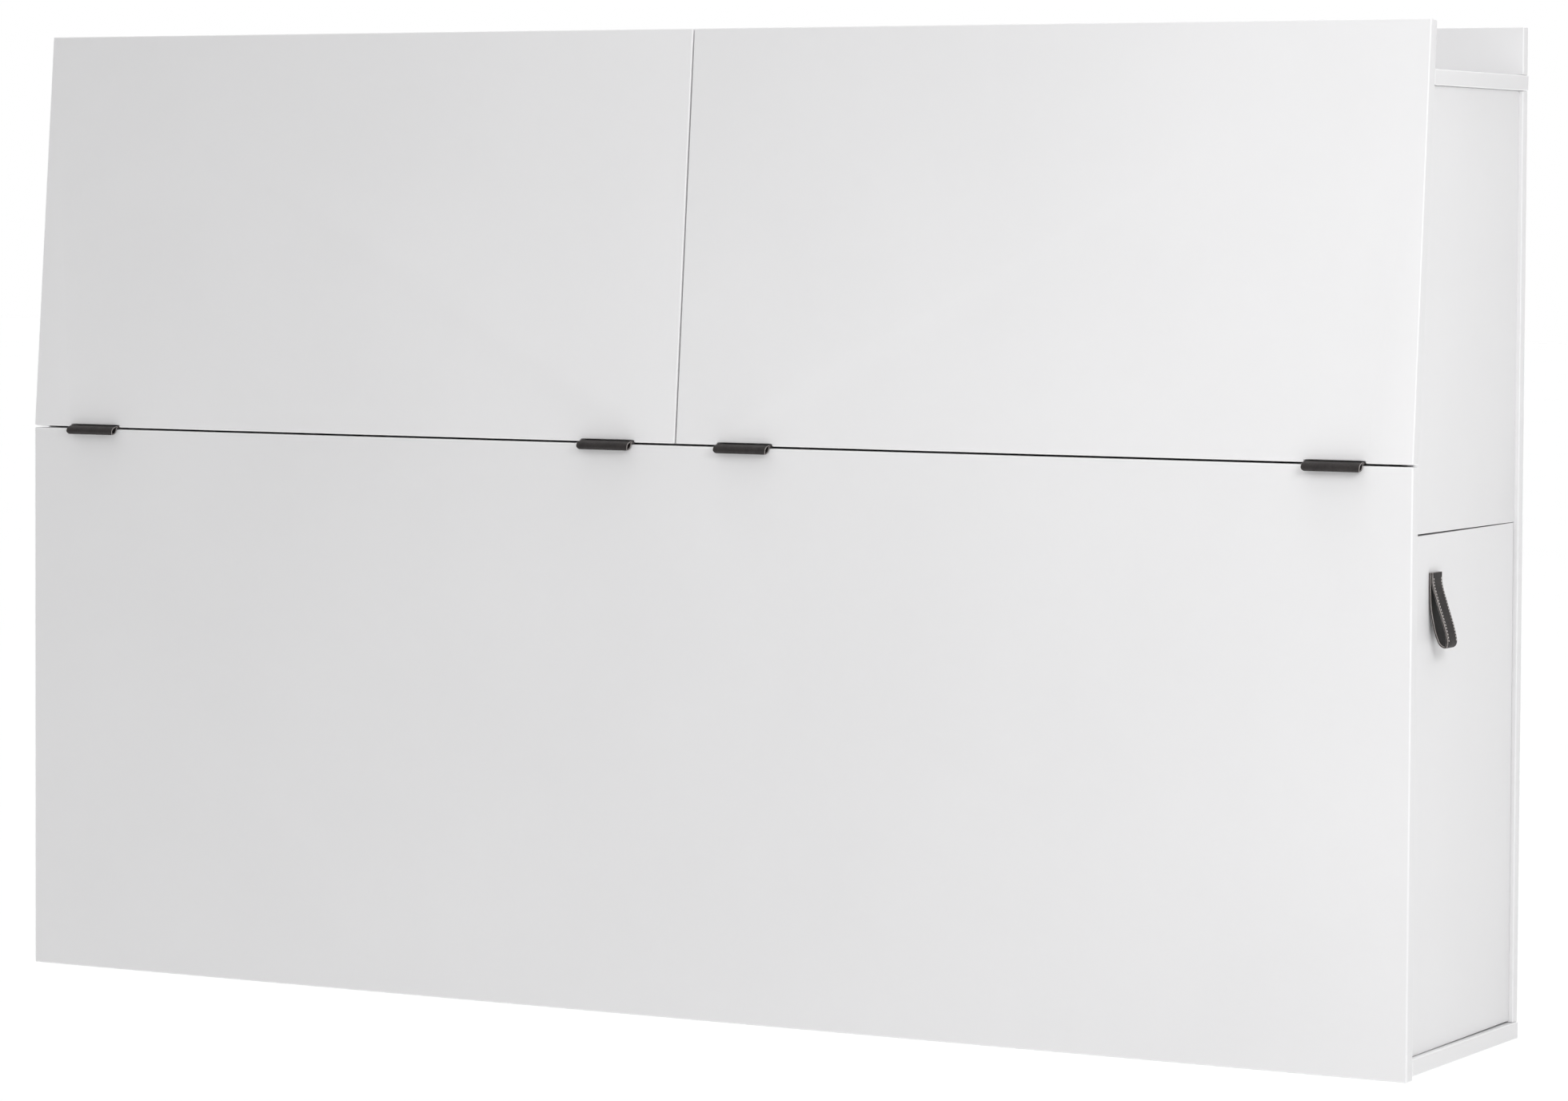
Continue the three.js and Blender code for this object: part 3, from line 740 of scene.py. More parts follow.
BRACKET_EASE = 0.6
PRESSED_EASE = 0.5
CAST_EASE = 1.2
LEAF_EASE = 0.12


def make_leaf(node):
    """A hinge leaf is so thin that one narrow bevel does."""
    eased(node, "eased", LEAF_EASE, [ZINC], 1)


def make_fittings():
    for name, _ in SIDES:
        for kind in ("floor_angle", "bed_strut_bracket", "flap_strut_bracket"):
            eased(f"{kind}_{name}", "eased", BRACKET_EASE, [ZINC])
        eased(f"flap_strut_foot_{name}", "eased", PRESSED_EASE, [ZINC])
        make_leaf(f"flap_hinge_board_leaf_{name}")
        make_leaf(f"flap_hinge_leaf_{name}")
        for place in ("lower", "upper"):
            eased(f"door_hinge_cup_{name}_{place}", "eased", PRESSED_EASE, [ZINC])
            eased(f"door_hinge_arm_{name}_{place}", "eased", CAST_EASE, [ZINC])
    make_leaf("bed_hinge_board_leaf")
    make_leaf("bed_hinge_panel_leaf")
    eased("bed_frame", "coated", CAST_EASE, [DARK_STEEL])


# --- Gas struts ---

# Pivots are (y, z); tube and rod are radii; the ends are distances from each part's own pivot.
STRUTS = {
    "bed": {
        "back": (340, 560),
        "foot": (44.5, 132.5),
        "tube": 10,
        "rod": 5,
        "tube_end": 480,
        "rod_end": 470,
    },
    "flap": {
        "back": (300, 850),
        "foot": (76, 1132),
        "tube": 8,
        "rod": 3.5,
        "tube_end": 318,
        "rod_end": 334,
    },
}
STRUT_LANE = 1020
TUBE_EYE_HALF = 10
ROD_EYE_HALF = 9.5


def strut_eye(shape, centre, radius, half):
    """A moulded eye on the pivot, with a shallow dish on each side round the pin."""
    reach = Vector((half * MM, 0, 0))
    rim, dish, shoulder = radius - 1.2, radius - 2.6, radius - 0.35
    face = [(1.4, 0), (1.4, dish - 0.6), (0.3, dish), (0, rim), (0.4, shoulder), (1.2, radius)]
    other_face = [(2 * half - depth, reached) for depth, reached in reversed(face)]
    lathe(shape, centre - reach, centre + reach, scaled(face + other_face), material=1)


def neck_profile(tube):
    """The moulded neck between a strut's eye and its tube."""
    thin, thick = tube * 0.72, tube * 0.80
    steps = [(-2, 0), (-2, thin), (16, thin), (17, thick), (20, thick), (20.5, 0)]
    return scaled([(tube + distance, radius) for distance, radius in steps])


def tube_profile(tube, rod, end):
    """A drawn tube: rounded shoulder, a rolled groove near the seal, and the seal round the rod."""
    shoulder = [(19, 0), (19, 0.86), (21, 0.98), (23, 1)]
    groove = [(22, 1), (20.5, 0.91), (18.5, 0.91), (17, 1), (4, 1), (1.2, 0.93), (0, 0.78)]
    seal = [(0.6, rod + 1.4), (2, rod + 0.7), (6, rod + 0.7), (6, 0)]
    first = [(tube + distance, tube * part) for distance, part in shoulder]
    second = [(end - distance, tube * part) for distance, part in groove]
    return scaled(first + second + [(end - distance, radius) for distance, radius in seal])


def shaft_profile(rod, length):
    return scaled([(rod + 18, 0), (rod + 18, rod), (length - 1.5, rod), (length, rod - 1), (length, 0)])


def socket_profile(rod):
    """The moulded socket that the rod is screwed into."""
    steps = [(1, 1.6), (16, 1.6), (17.5, 1), (19, 1), (20, 0.4)]
    outline = [(rod + distance, rod + more) for distance, more in steps]
    return scaled([(rod + 1, 0), *outline, (rod + 20, 0)])


def finish_strut(shape, node, metal):
    obj = object_from(shape, f"{node}_turned", [metal, BLACK_PLASTIC], TURNED_SHARP)
    finish_piece(obj, BODY_OF[node], (node,))


def make_strut(kind, name, side):
    size = STRUTS[kind]
    back, foot = (at(side * STRUT_LANE, *size[end]) for end in ("back", "foot"))
    tube, rod = size["tube"], size["rod"]
    barrel = bmesh.new()
    lathe(barrel, back, foot, neck_profile(tube), 32, material=1)
    lathe(barrel, back, foot, tube_profile(tube, rod, size["tube_end"]), 48)
    strut_eye(barrel, back, tube + 1, TUBE_EYE_HALF)
    finish_strut(barrel, f"{kind}_strut_tube_{name}", DARK_STEEL)
    piston = bmesh.new()
    lathe(piston, foot, back, shaft_profile(rod, size["rod_end"]))
    lathe(piston, foot, back, socket_profile(rod), 32, material=1)
    strut_eye(piston, foot, rod + 4, ROD_EYE_HALF)
    finish_strut(piston, f"{kind}_strut_rod_{name}", CHROME)


def make_struts():
    for name, side in SIDES:
        for kind in STRUTS:
            make_strut(kind, name, side)


# --- Slats ---

SLATS = 14
SLAT_WIDTH = 60
SLAT_REACH = 980
SLAT_PITCH = (2 * SLAT_REACH - SLAT_WIDTH) / (SLATS - 1)
SLAT_STARTS = [SLAT_PITCH * i - SLAT_REACH for i in range(SLATS)]
SLAT_FRONT = 50.6
SLAT_BACK = 58.6
SLAT_ENDS = (39, 739)
SLAT_EASE = 1.6
TAPE_HEIGHTS = (184, 594)
TAPE_HALF = 12
TAPE_THICKNESS = 1.1
TAPE_LIFT = 0.8
TAPE_SAG = -0.4
TAPE_HOLD = 2
TAPE_DROP = 20
TAPE_STEPS = 260
STAPLE_OFFSET = 0.22
STAPLE_HALF = (0.5, 5)
STAPLE_LIFTS = (1.3, 1.9)
STAPLE_EASE = 0.25


def make_planks():
    planks = bmesh.new()
    for x in SLAT_STARTS:
        block(planks, (x, SLAT_FRONT, SLAT_ENDS[0]), (x + SLAT_WIDTH, SLAT_BACK, SLAT_ENDS[1]))
    obj = softened(planks, "slats", [SLAT_WOOD], SLAT_EASE, 3)
    finish_piece(obj, "bed", ("slatted_base",))


def make_staples():
    """Two staples where each tape crosses each slat."""
    staples = bmesh.new()
    half_x, half_z = STAPLE_HALF
    front, back = (SLAT_BACK + lift for lift in STAPLE_LIFTS)
    for start in SLAT_STARTS:
        for z in TAPE_HEIGHTS:
            for offset in (-STAPLE_OFFSET, STAPLE_OFFSET):
                x = start + SLAT_WIDTH * (0.5 + offset)
                block(staples, (x - half_x, front, z - half_z), (x + half_x, back, z + half_z))
    finish_piece(softened(staples, "slat_staples", [ZINC], STAPLE_EASE), "bed")


def make_slat_tape(name, z):
    """A webbing tape along the slats, sagging a little between them."""
    line = []
    high, low = SLAT_BACK + TAPE_LIFT, SLAT_BACK + TAPE_SAG
    for x in SLAT_STARTS:
        end, after = x + SLAT_WIDTH, x + SLAT_PITCH
        line += [at(x + TAPE_HOLD, high, z), at(end - TAPE_HOLD, high, z)]
        line += [at(end + TAPE_DROP, low, z), at(after - TAPE_DROP, low, z)]
    tape = bmesh.new()
    run = smooth_line(line[:-2], TAPE_STEPS)
    strip(tape, run, Vector((0, 0, 1)), even_width(TAPE_HALF), TAPE_THICKNESS * MM, columns=2)
    finish_piece(object_from(tape, f"slat_tape_{name}", [TAPE, TAPE], SOFT_SHARP), "bed")


# --- Mattress ---

MATTRESS_CELLS = (144, 10, 48)
QUILT_CELLS = (9, 8)
MATTRESS_CORNER = 40
MATTRESS_EDGE = 16
SWELL = 12
COVER_INSET = 3
COVER_PRESSURE = 12
COVER_GROWTH = 0.03
COVER_STIFFNESS = 5
COVER_STEPS = 20
THREAD_RADIUS = 0.55
THREAD_SPAN = (0.14, 0.86)
THREAD_LIFT = 0.7
PIPING_RADIUS = 3.2
PIPING_SEGMENTS = 10
CORNER_STEPS = 8


def lattice(shape, counts):
    """The surface of a block of unit cells as quads, each vertex kept under its place in the block."""
    found = {}

    def vertex(place):
        if place not in found:
            found[place] = shape.verts.new(place)
        return found[place]

    for axis in range(3):
        u, v = (axis + 1) % 3, (axis + 2) % 3
        for level in (0, counts[axis]):
            for a in range(counts[u]):
                for b in range(counts[v]):
                    corners = []
                    for step_a, step_b in ((0, 0), (1, 0), (1, 1), (0, 1)):
                        place = [0, 0, 0]
                        place[axis], place[u], place[v] = level, a + step_a, b + step_b
                        corners.append(vertex(tuple(place)))
                    shape.faces.new(corners if level else corners[::-1])
    return found


def pad_point(fraction, half, corner, edge):
    """Where a point of a block's surface goes once its corners in plan and its edges are round."""
    x, y, z = (f * h for f, h in zip(fraction, half))
    inset = min(half[0] - abs(x), half[2] - abs(z))
    over = Vector((abs(x) - half[0] + corner, abs(z) - half[2] + corner))
    if over.x > 0 and over.y > 0:
        outward = over.normalized()
        over = outward * max(over)
        x = math.copysign(half[0] - corner + over.x, x)
        z = math.copysign(half[2] - corner + over.y, z)
    elif half[0] - abs(x) < half[2] - abs(z):
        outward = Vector((1, 0))
    else:
        outward = Vector((0, 1))
    across, up = edge - inset, edge - (half[1] - abs(y))
    if across > 0 and up > 0:
        shrink = 1 - edge / math.hypot(across, up)
        x -= math.copysign(outward.x * across * shrink, x)
        z -= math.copysign(outward.y * across * shrink, z)
        y -= math.copysign(up * shrink, y)
    return Vector((x, y, z))


def inflate(obj, pinned, most):
    """Swells a closed mesh by cloth simulation: the cloth grows a little and is blown up.

    The pinned points stay, and no point moves further than most."""
    group = obj.vertex_groups.new(name="seams")
    group.add(pinned, 1.0, "REPLACE")
    before = np.array([vertex.co for vertex in obj.data.vertices])
    cloth = obj.modifiers.new("cloth", "CLOTH")
    settings = cloth.settings
    settings.vertex_group_mass = "seams"
    settings.use_pressure = True
    settings.uniform_pressure_force = COVER_PRESSURE
    settings.tension_stiffness = settings.compression_stiffness = COVER_STIFFNESS
    settings.shrink_min = -COVER_GROWTH
    settings.effector_weights.gravity = 0
    cloth.point_cache.frame_end = COVER_STEPS
    scene = bpy.context.scene
    for step in range(1, COVER_STEPS + 1):
        scene.frame_set(step)
    swollen = obj.evaluated_get(bpy.context.evaluated_depsgraph_get())
    after = np.array([vertex.co for vertex in swollen.data.vertices])
    obj.modifiers.remove(cloth)
    scene.frame_set(1)
    move = after - before
    length = np.maximum(np.linalg.norm(move, axis=1), 1e-9)
    held = before + move * (most * np.tanh(length / most) / length)[:, None]
    obj.data.vertices.foreach_set("co", held.ravel())
    obj.data.update()


def subdivided(obj):
    """Subdivides once for good; the first vertices are still the ones that the mesh had."""
    obj.modifiers.new("smooth", "SUBSURF").levels = 1
    smooth = bpy.data.meshes.new_from_object(obj.evaluated_get(bpy.context.evaluated_depsgraph_get()))
    obj.modifiers.clear()
    obj.data = smooth
    for polygon in smooth.polygons:
        polygon.use_smooth = True


def make_mattress():
    """A quilted mattress: squares stitched through both faces, and a piped seam round each face."""
    low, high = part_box("mattress")
    middle = (low + high) / 2
    half = (high - low) / 2 - Vector((COVER_INSET, SWELL, COVER_INSET)) * MM
    shape = bmesh.new()
    places = lattice(shape, MATTRESS_CELLS)
    for place, vertex in places.items():
        fraction = [2 * step / count - 1 for step, count in zip(place, MATTRESS_CELLS)]
        vertex.co = middle + pad_point(fraction, half, MATTRESS_CORNER * MM, MATTRESS_EDGE * MM)
    shape.verts.index_update()
    index = {place: vertex.index for place, vertex in places.items()}
    obj = object_from(shape, "mattress_cover", [TICKING], ALL_SMOOTH)
    seams = quilt_seams(index)
    pinned = edge_seam(index) + [i for seam in seams for i in seam]
    inflate(obj, pinned, SWELL * MM)
    subdivided(obj)
    finish_piece(obj, "bed", ("mattress",))
    make_quilt_thread(obj, seams)
    make_piping(middle, half)
    make_handles(high)


def quilt_seams(index):
    """The rows of vertices along the quilting lines of both faces."""
    count_x, count_y, count_z = MATTRESS_CELLS
    seams = []
    for level in (0, count_y):
        for i in range(QUILT_CELLS[0], count_x, QUILT_CELLS[0]):
            seams.append([index[(i, level, k)] for k in range(1, count_z)])
        for k in range(QUILT_CELLS[1], count_z, QUILT_CELLS[1]):
            seams.append([index[(i, level, k)] for i in range(1, count_x)])
    return seams


def edge_seam(index):
    """The vertices along the two piped edges."""
    ends = [(0, count) for count in MATTRESS_CELLS]
    return [i for place, i in index.items()
            if place[1] in ends[1] and (place[0] in ends[0] or place[2] in ends[2])]


def make_quilt_thread(cover, seams):
    """A short stitch along each quilted edge of the cover's mesh."""
    thread = bmesh.new()
    radius = THREAD_RADIUS * MM
    for seam in seams:
        points = [cover.data.vertices[i].co for i in seam]
        normals = [cover.data.vertices[i].normal for i in seam]
        for a, b, normal in zip(points, points[1:], normals):
            start, end = (a.lerp(b, part) + normal * radius * THREAD_LIFT for part in THREAD_SPAN)
            length = (end - start).length
            bulge = [(0, 0), (length * 0.08, radius), (length * 0.92, radius), (length, 0)]
            lathe(thread, start, end, bulge, 5)
    finish_piece(object_from(thread, "quilting_thread", [QUILT_THREAD], ROUND_SHARP), "bed")


def make_piping(middle, half):
    """A covered cord round each face, in the seam between the face and the border."""
    cord = bmesh.new()
    inset = MATTRESS_EDGE * MM * (1 - math.sqrt(0.5))
    corner = MATTRESS_CORNER * MM - inset
    reach_x, reach_z = half.x - inset - corner, half.z - inset - corner
    outline = []
    for quarter, (sign_x, sign_z) in enumerate(((1, 1), (-1, 1), (-1, -1), (1, -1))):
        for step in range(CORNER_STEPS + 1):
            angle = math.pi / 2 * (quarter + step / CORNER_STEPS)
            x = sign_x * reach_x + corner * math.cos(angle)
            z = sign_z * reach_z + corner * math.sin(angle)
            outline.append((x, z))
    for side in (-1, 1):
        y = side * (half.y - inset)
        loop = [middle + Vector((x, y, z)) for x, z in outline]
        closed_tube(cord, loop, PIPING_RADIUS * MM, PIPING_SEGMENTS)
    obj = object_from(cord, "mattress_piping", [PIPING], ROUND_SHARP)
    finish_piece(obj, "bed")


def closed_tube(shape, loop, radius, segments):
    """A round tube along a closed loop that lies in a plane of constant y."""
    rings = []
    up = Vector((0, 1, 0))
    for i, point in enumerate(loop):
        along = (loop[(i + 1) % len(loop)] - loop[i - 1]).normalized()
        side = along.cross(up)
        places = [point + (side * c + up * s) * radius for c, s in circle(segments)]
        rings.append([shape.verts.new(place) for place in places])
    for ring, after in zip(rings, rings[1:] + rings[:1]):
        join_loops(shape, ring, after)


# --- Handles and straps ---

# The handle's arch is (along, up), from its end to its middle; the buckle's places are from its own
# middle. Both are in millimetres.
HANDLE_ARCH = ((112, 2.0), (90, 2.2), (70, 4.0), (35, 6.4), (0, 7.0))
HANDLE_MIDDLE = 300
HANDLE_BACK = 70
HANDLE_HALF = 16
HANDLE_THICKNESS = 2.2
HANDLE_STEPS = 60
SEAM_PLACES = (86, 108)
SEAM_HALF = (0.6, 13)
SEAM_LIFTS = (2.6, 3.8)
STRAP_PLACES = {"left": -560, "right": 560}
BAND_INSET = 1
BAND_BEND = 16
BEND_STEPS = 8
BAND_SPACING = 4
BAND_HALF = 20
BAND_THICKNESS = 2
BUCKLE_HEIGHT = 600
BUCKLE_LIFT = 1.2
BUCKLE_DEPTH = 3.4
BUCKLE_HALF = 25
BUCKLE_BARS = (-16, 0, 16)
BUCKLE_SIDE = 23.5
BUCKLE_EASE = 0.9
BAR_HALF = 2.2


def make_handles(high):
    """Two lifting handles stitched to the border that is in front when the bed is down."""
    top = (high.z - BASE.z) / MM
    y = (high.y - BASE.y) / MM - HANDLE_BACK
    arch = [(-x, z) for x, z in HANDLE_ARCH[:-1]] + list(reversed(HANDLE_ARCH))
    half_x, half_y = SEAM_HALF
    lower, upper = (top + lift for lift in SEAM_LIFTS)
    for name, side in SIDES:
        middle = side * HANDLE_MIDDLE
        line = smooth_line([at(middle + x, y, top + z) for x, z in arch], HANDLE_STEPS)
        band = bmesh.new()
        width = even_width(HANDLE_HALF)
        strip(band, line, Vector((0, 1, 0)), width, HANDLE_THICKNESS * MM, columns=4)
        for end in (-1, 1):
            for place in SEAM_PLACES:
                x = middle + end * place
                block(band, (x - half_x, y - half_y, lower), (x + half_x, y + half_y, upper), material=2)
        obj = object_from(band, f"mattress_handle_{name}", [WEBBING, WEBBING, THREAD], SOFT_SHARP)
        finish_piece(obj, "bed")


def band_line(x, low, high):
    """Up the sleeping side of the mattress, from and back to its other side round both ends."""
    inset, bend = BAND_INSET * MM, BAND_BEND * MM
    front, back = low.y + inset, high.y - inset
    bottom, top = low.z + inset, high.z - inset
    line = [Vector((x, front, bottom))]
    for centre_z, first in ((bottom + bend, -math.pi / 2), (top - bend, 0.0)):
        for step in range(BEND_STEPS + 1):
            angle = first + math.pi / 2 * step / BEND_STEPS
            y = back - bend + bend * math.cos(angle)
            line.append(Vector((x, y, centre_z + bend * math.sin(angle))))
    line.append(Vector((x, front, top)))
    return evenly(line, BAND_SPACING * MM)


def make_mattress_strap(name, x):
    """A webbing band round the mattress, with a ladder buckle on the sleeping side."""
    node = f"mattress_strap_{name}"
    low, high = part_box(node)
    band = bmesh.new()
    line = band_line(x * MM, low, high)
    strip(band, line, Vector((1, 0, 0)), even_width(BAND_HALF), BAND_THICKNESS * MM)
    obj = object_from(band, f"{node}_webbing", [WEBBING, WEBBING], SOFT_SHARP)
    finish_piece(obj, "bed", (node,))
    face = (high.y - BASE.y) / MM - BAND_INSET + BUCKLE_LIFT
    make_buckle(f"{node}_buckle", x, face, face + BUCKLE_DEPTH)


def make_buckle(name, x, front, back):
    buckle = bmesh.new()
    for offset in BUCKLE_BARS:
        z = BUCKLE_HEIGHT + offset
        block(buckle, (x - BUCKLE_HALF, front, z - BAR_HALF), (x + BUCKLE_HALF, back, z + BAR_HALF))
    low, high = BUCKLE_HEIGHT + BUCKLE_BARS[0], BUCKLE_HEIGHT + BUCKLE_BARS[-1]
    for side in (-1, 1):
        bar = x + side * BUCKLE_SIDE
        block(buckle, (bar - BAR_HALF, front, low), (bar + BAR_HALF, back, high))
    finish_piece(softened(buckle, name, [BLACK_PLASTIC], BUCKLE_EASE, 3), "bed")


def make_bed():
    make_planks()
    make_staples()
    for name, z in zip(("lower", "upper"), TAPE_HEIGHTS):
        make_slat_tape(name, z)
    make_mattress()
    for name, x in STRAP_PLACES.items():
        make_mattress_strap(name, x)


# --- Fasteners ---

UP = (0, 0, 1)
DOWN = (0, 0, -1)
FORWARD = (0, -1, 0)
BACKWARD = (0, 1, 0)
FLAP_AXIS = (64.2, 1272.2)

# Each hinge leaf's face, and the height or depth of the first of its two rows of screws.
HINGE_ZIGZAG = 6
BED_HINGE_REACH = 971.4
BED_HINGE_SCREWS = 21
BED_BOARD_LEAF = (3.5, 36)
BED_PANEL_LEAF = (21.5, 14)
FLAP_HINGE_SPAN = (102.7, 957.3)
FLAP_HINGE_SCREWS = 11
FLAP_BOARD_LEAF = (1270.5, 76)
FLAP_LEAF = (FRONT_BOARD + 1.5, 12)

# Where each fitting's screws are: its middle and its face, and the screws on both sides of it.
PLATE_FACE = BACK_FACE - 3
BED_BRACKET_X = 993
BED_BRACKET_PAIR = (-19, 19)
FLAP_BRACKET_X = 1032.7
FLAP_BRACKET_PAIR = (-11, 11)
FLOOR_ANGLE_X = 530
FLOOR_ANGLE_PAIR = (-12, 12)
FLOOR_ANGLE_UPPER = 72
FLOOR_ANGLE_LOWER = (326, 30.3)
ARM_X = 990
ARM_PAIR = (-15, 15)
FOOT_FACE = FRONT_BOARD + 3.3
FOOT_PAIR = (-12, 12)
CUP_PAIR = (-21, 21)
RAIL_FACE = BACK_FACE - 18
RAIL_MIDDLE = 1218.7
RAIL_SCREWS = (110, 380, 660, 935)
CAP_COLUMNS = (1006, 30)
CAP_ROWS = (90, 300)

# The back board's screws and the bumpers. A row is (first, last, count).
UPRIGHT_MIDDLE = 1044
SHELF_ROW = (-1000, 1000, 9)
DIVIDER_ROW = (860, 1180, 4)
UPRIGHT_ROW = (730, 1200, 4)
BUMPER = ((0, 0), (0, 4.6), (0.5, 4.8), (1.0, 4.2), (1.5, 2.8), (1.7, 0))
UPRIGHT_BUMPERS = (22.5, (110, 620))
SHELF_BUMPERS = (23.5, (-700, 0, 700))


def flap_point(x, y, z):
    """A point in a flap's own upright frame, in millimetres, carried to the closed flap."""
    return lean_matrix() @ (Vector((x, y, z)) * MM)


def flap_backward():
    """The direction that a closed flap's inner face looks."""
    return lean_matrix().to_3x3() @ Vector(BACKWARD)


def flap_height(y, z):
    """How far up a closed flap, in millimetres along it, a point given from BASE is."""
    return (lean_matrix().inverted() @ at(0, y, z)).z / MM


def spread(first, last, count):
    return [first + (last - first) * i / (count - 1) for i in range(count)]


def zigzag(start, count):
    """Two rows of screws, used by turns."""
    return [start + HINGE_ZIGZAG * (i % 2) for i in range(count)]


def make_bed_hinge_screws():
    along = spread(-BED_HINGE_REACH, BED_HINGE_REACH, BED_HINGE_SCREWS)
    face, row = BED_BOARD_LEAF
    below = [(at(x, y, face), DOWN) for x, y in zip(along, zigzag(row, BED_HINGE_SCREWS))]
    fasteners("bed_hinge_board_screws", "small", below, "cabinet")
    face, row = BED_PANEL_LEAF
    behind = [(at(x, face, z), BACKWARD) for x, z in zip(along, zigzag(row, BED_HINGE_SCREWS))]
    fasteners("bed_hinge_panel_screws", "small", behind, "bed")


def make_flap_hinge_screws(name, side):
    first, last = FLAP_HINGE_SPAN
    along = spread(side * first, side * last, FLAP_HINGE_SCREWS)
    face, row = FLAP_BOARD_LEAF
    above = [(at(x, y, face), UP) for x, y in zip(along, zigzag(row, FLAP_HINGE_SCREWS))]
    fasteners(f"flap_hinge_board_screws_{name}", "small", above, "cabinet")
    face, row = FLAP_LEAF
    heights = zigzag(flap_height(*FLAP_AXIS) + row, FLAP_HINGE_SCREWS)
    leaf = [(flap_point(x, face, z), flap_backward()) for x, z in zip(along, heights)]
    fasteners(f"flap_hinge_screws_{name}", "small", leaf, f"{name}_flap")


def bracket_places(name, side):
    """Screws of the strut brackets, the floor angle and the door hinge arms."""
    bed_z = STRUTS["bed"]["back"][1]
    places = [(at(side * BED_BRACKET_X, PLATE_FACE, bed_z + dz), FORWARD) for dz in BED_BRACKET_PAIR]
    flap_y, flap_z = STRUTS["flap"]["back"]
    for dy in FLAP_BRACKET_PAIR:
        for dz in FLAP_BRACKET_PAIR:
            places.append((at(side * FLAP_BRACKET_X, flap_y + dy, flap_z + dz), (-side, 0, 0)))
    angle_x = [side * FLOOR_ANGLE_X + dx for dx in FLOOR_ANGLE_PAIR]
    places += [(at(x, PLATE_FACE, FLOOR_ANGLE_UPPER), FORWARD) for x in angle_x]
    places += [(at(x, *FLOOR_ANGLE_LOWER), UP) for x in angle_x]
    for place in ("lower", "upper"):
        low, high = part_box(f"door_hinge_arm_{name}_{place}")
        middle = ((low.z + high.z) / 2 - BASE.z) / MM
        places += [(at(side * ARM_X, PLATE_FACE, middle + dz), FORWARD) for dz in ARM_PAIR]
    return places


def make_bracket_screws(name, side):
    fasteners(f"bracket_screws_{name}", "pan", bracket_places(name, side), "cabinet")
    height = flap_height(*STRUTS["flap"]["foot"])
    points = [flap_point(side * ARM_X, FOOT_FACE, height + dz) for dz in FOOT_PAIR]
    feet = [(point, flap_backward()) for point in points]
    fasteners(f"strut_foot_screws_{name}", "pan", feet, f"{name}_flap")
    rail = [(at(side * x, RAIL_FACE, RAIL_MIDDLE), FORWARD) for x in RAIL_SCREWS]
    fasteners(f"wall_screws_{name}", "large", rail, "cabinet")


def make_cup_screws(name, side):
    for place in ("lower", "upper"):
        low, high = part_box(f"door_hinge_cup_{name}_{place}")
        face = min(abs(low.x), abs(high.x))
        middle = Vector((side * face, (low.y + high.y) / 2, (low.z + high.z) / 2))
        places = [(middle + Vector((0, 0, dz * MM)), (-side, 0, 0)) for dz in CUP_PAIR]
        fasteners(f"cup_screws_{name}_{place}", "pan", places, f"{name}_door")


def make_bumpers():
    """Clear stops that the panel closes against."""
    face, heights = UPRIGHT_BUMPERS
    places = [(side * UPRIGHT_MIDDLE, face, z) for _, side in SIDES for z in heights]
    face, across = SHELF_BUMPERS
    places += [(x, face, SHELF_MIDDLE) for x in across]
    shape = bmesh.new()
    for place in places:
        start = at(*place)
        lathe(shape, start, start - Vector((0, MM, 0)), scaled(BUMPER), 24)
    finish_piece(object_from(shape, "panel_bumpers", [RUBBER], SOFT_SHARP), "cabinet")


def make_cam_covers():
    """Caps over the fittings that tie the shelf to the uprights."""
    across = [side * x for _, side in SIDES for x in CAP_COLUMNS]
    places = [(at(x, y, SHELF_UNDER), DOWN) for x in across for y in CAP_ROWS]
    fasteners("shelf_fitting_caps", "cam", places, "cabinet", WHITE_PLASTIC)


def make_back_screws():
    """Countersunk screws through the back board into the shelf, the divider and the uprights."""
    places = [(x, SHELF_MIDDLE) for x in spread(*SHELF_ROW)]
    places += [(0, z) for z in spread(*DIVIDER_ROW)]
    places += [(side * UPRIGHT_MIDDLE, z) for _, side in SIDES for z in spread(*UPRIGHT_ROW)]
    heads = [(at(x, WALL_FACE, z), BACKWARD) for x, z in places]
    fasteners("back_board_screws", "small", heads, "cabinet")


def make_fasteners():
    make_bed_hinge_screws()
    for name, side in SIDES:
        make_flap_hinge_screws(name, side)
        make_bracket_screws(name, side)
        make_cup_screws(name, side)
    make_bumpers()
    make_cam_covers()
    make_back_screws()


# --- Camera, light and floor ---

CAMERA_PLACE = (3553.6, -6190.9, 1081.0)
CAMERA_YAW = 28.681
CAMERA_PITCH = 2.494
CAMERA_ROLL = -0.308
SENSOR_WIDTH = 36
LENS = 122.32
LENS_SHIFT = -0.0655
VIEW_END = 200

# Places, aims and sizes of the lamps in metres, and their powers in watts.
LAMPS = {
    "key": ((0.9, -2.8, 1.0), (0.4, -0.3, 0.0), 1.2, 8),
    "right": ((3.4, -2.6, 1.6), (1.0, -0.3, 0.1), 1.4, 51),
    "side": ((4.4, -0.6, 0.9), (1.1, -0.2, 0.0), 1.6, 2),
}
OVERHEAD_STRENGTH = 0.55
OVERHEAD_SPREAD = 25
ROOM_FRONT = 0.01
ROOM_GLOWS = (
    ((-0.6, 0.8, 0.0), (0.2, 0.8), 1.02),
    ((0.0, 0.0, 1.0), (0.1, 0.9), 0.94),
)
BACKDROP = 1.0
FLOOR_REACH = 60
FLOOR_DROP = 0.55


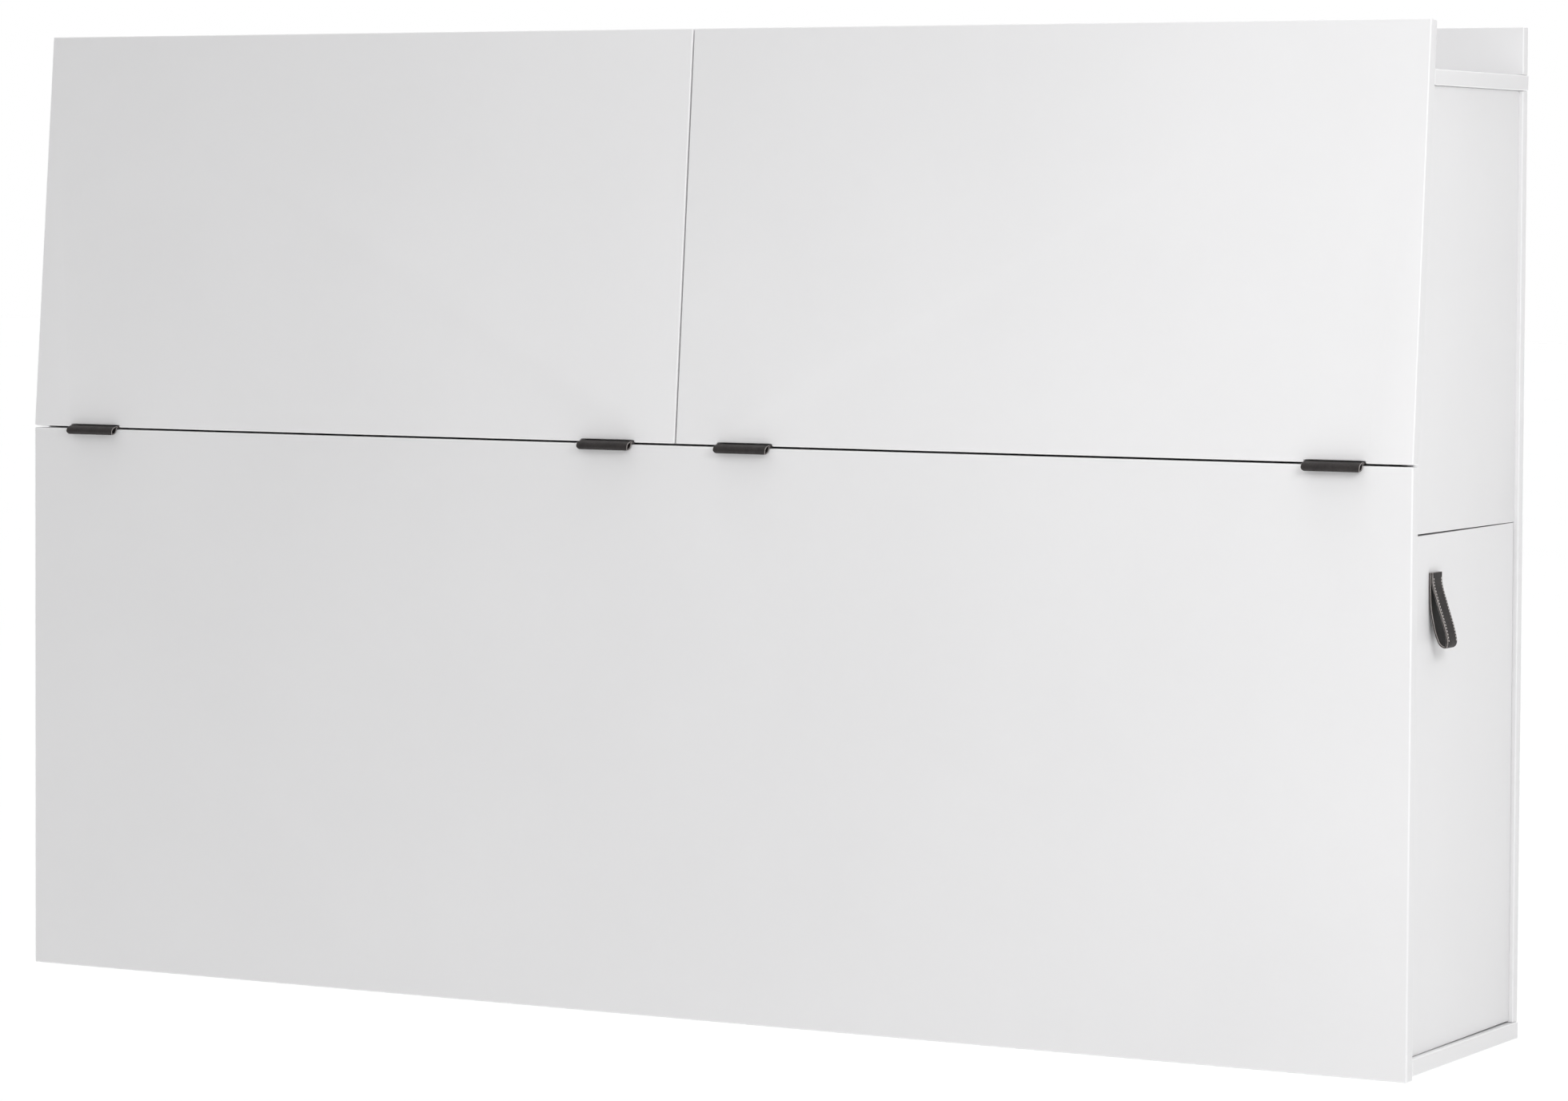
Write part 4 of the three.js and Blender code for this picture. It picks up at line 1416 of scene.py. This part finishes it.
def make_camera():
    """The main view: a long lens from the right, slightly above."""
    yaw, pitch, roll = (math.radians(v) for v in (CAMERA_YAW, CAMERA_PITCH, CAMERA_ROLL))
    level = Vector((-math.sin(yaw), math.cos(yaw), 0))
    forward = level * math.cos(pitch) - Vector((0, 0, math.sin(pitch)))
    right = Vector((math.cos(yaw), math.sin(yaw), 0))
    down = forward.cross(right)
    rolled_right = right * math.cos(roll) + down * math.sin(roll)
    rolled_down = down * math.cos(roll) - right * math.sin(roll)
    data = bpy.data.cameras.new("camera")
    data.sensor_width = SENSOR_WIDTH
    data.lens = LENS
    data.shift_y = LENS_SHIFT
    data.clip_end = VIEW_END
    camera = bpy.data.objects.new("camera", data)
    columns = Matrix((rolled_right, -rolled_down, -forward)).transposed()
    camera.matrix_world = Matrix.Translation(at(*CAMERA_PLACE)) @ columns.to_4x4()
    bpy.context.scene.collection.objects.link(camera)
    bpy.context.scene.camera = camera


def make_lamp(name, place, target, size, watts):
    data = bpy.data.lights.new(name, "AREA")
    data.shape = "RECTANGLE"
    data.size = data.size_y = size
    data.energy = watts
    lamp = bpy.data.objects.new(name, data)
    lamp.location = place
    lamp.rotation_euler = (Vector(target) - Vector(place)).to_track_quat("-Z", "Y").to_euler()
    bpy.context.scene.collection.objects.link(lamp)


def make_overhead():
    data = bpy.data.lights.new("overhead", "SUN")
    data.energy = OVERHEAD_STRENGTH
    data.angle = math.radians(OVERHEAD_SPREAD)
    bpy.context.scene.collection.objects.link(bpy.data.objects.new("overhead", data))


def make_floor():
    shape = bmesh.new()
    bmesh.ops.create_grid(shape, x_segments=8, y_segments=8, size=FLOOR_REACH)
    floor = object_from(shape, "floor", [])
    floor.location = (0, 0, cad_low.z - FLOOR_DROP)
    made = Shader("pale_floor", Specular_IOR_Level=0.1, Roughness=0.9)
    made.colour(made.mix(made.noise(0.8, 3), (0.93, 0.93, 0.93), (0.95, 0.95, 0.95)))
    floor.data.materials.append(made.material)


def toward(tree, direction, span, most):
    """A strength that rises to most as the view's cosine with a direction goes through a span."""
    facing = add_node(tree, "VectorMath")
    facing.operation = "DOT_PRODUCT"
    feed(tree, facing.inputs[0], tree.nodes["Texture Coordinate"].outputs["Generated"])
    feed(tree, facing.inputs[1], direction)
    rise = add_node(tree, "MapRange", Value=facing.outputs["Value"],
                    From_Min=span[0], From_Max=span[1], To_Max=most)
    rise.interpolation_type = "SMOOTHSTEP"
    return rise.outputs["Result"]


def make_room():
    """Light from all round, brighter above and brightest behind the object; the camera sees white."""
    world = bpy.data.worlds.new("studio")
    world.use_nodes = True
    tree = world.node_tree
    add_node(tree, "TexCoord")
    total = ROOM_FRONT
    for direction, span, most in ROOM_GLOWS:
        added = add_node(tree, "Math")
        feed(tree, added.inputs[0], total)
        feed(tree, added.inputs[1], toward(tree, direction, span, most))
        total = added.outputs[0]
    seen = add_node(tree, "LightPath").outputs["Is Camera Ray"]
    backdrop = add_node(tree, "Mix", Factor=seen, A=total, B=BACKDROP)
    background = tree.nodes["Background"]
    feed(tree, background.inputs["Color"], (1, 1, 1, 1))
    feed(tree, background.inputs["Strength"], backdrop.outputs["Result"])
    bpy.context.scene.world = world


def make_light():
    make_room()
    for name, lamp in LAMPS.items():
        make_lamp(name, *lamp)
    make_overhead()
    bpy.context.scene.view_settings.view_transform = "Standard"


make_boards()
make_leather()
make_fittings()
make_struts()
make_bed()
make_fasteners()
make_floor()
make_light()
make_camera()
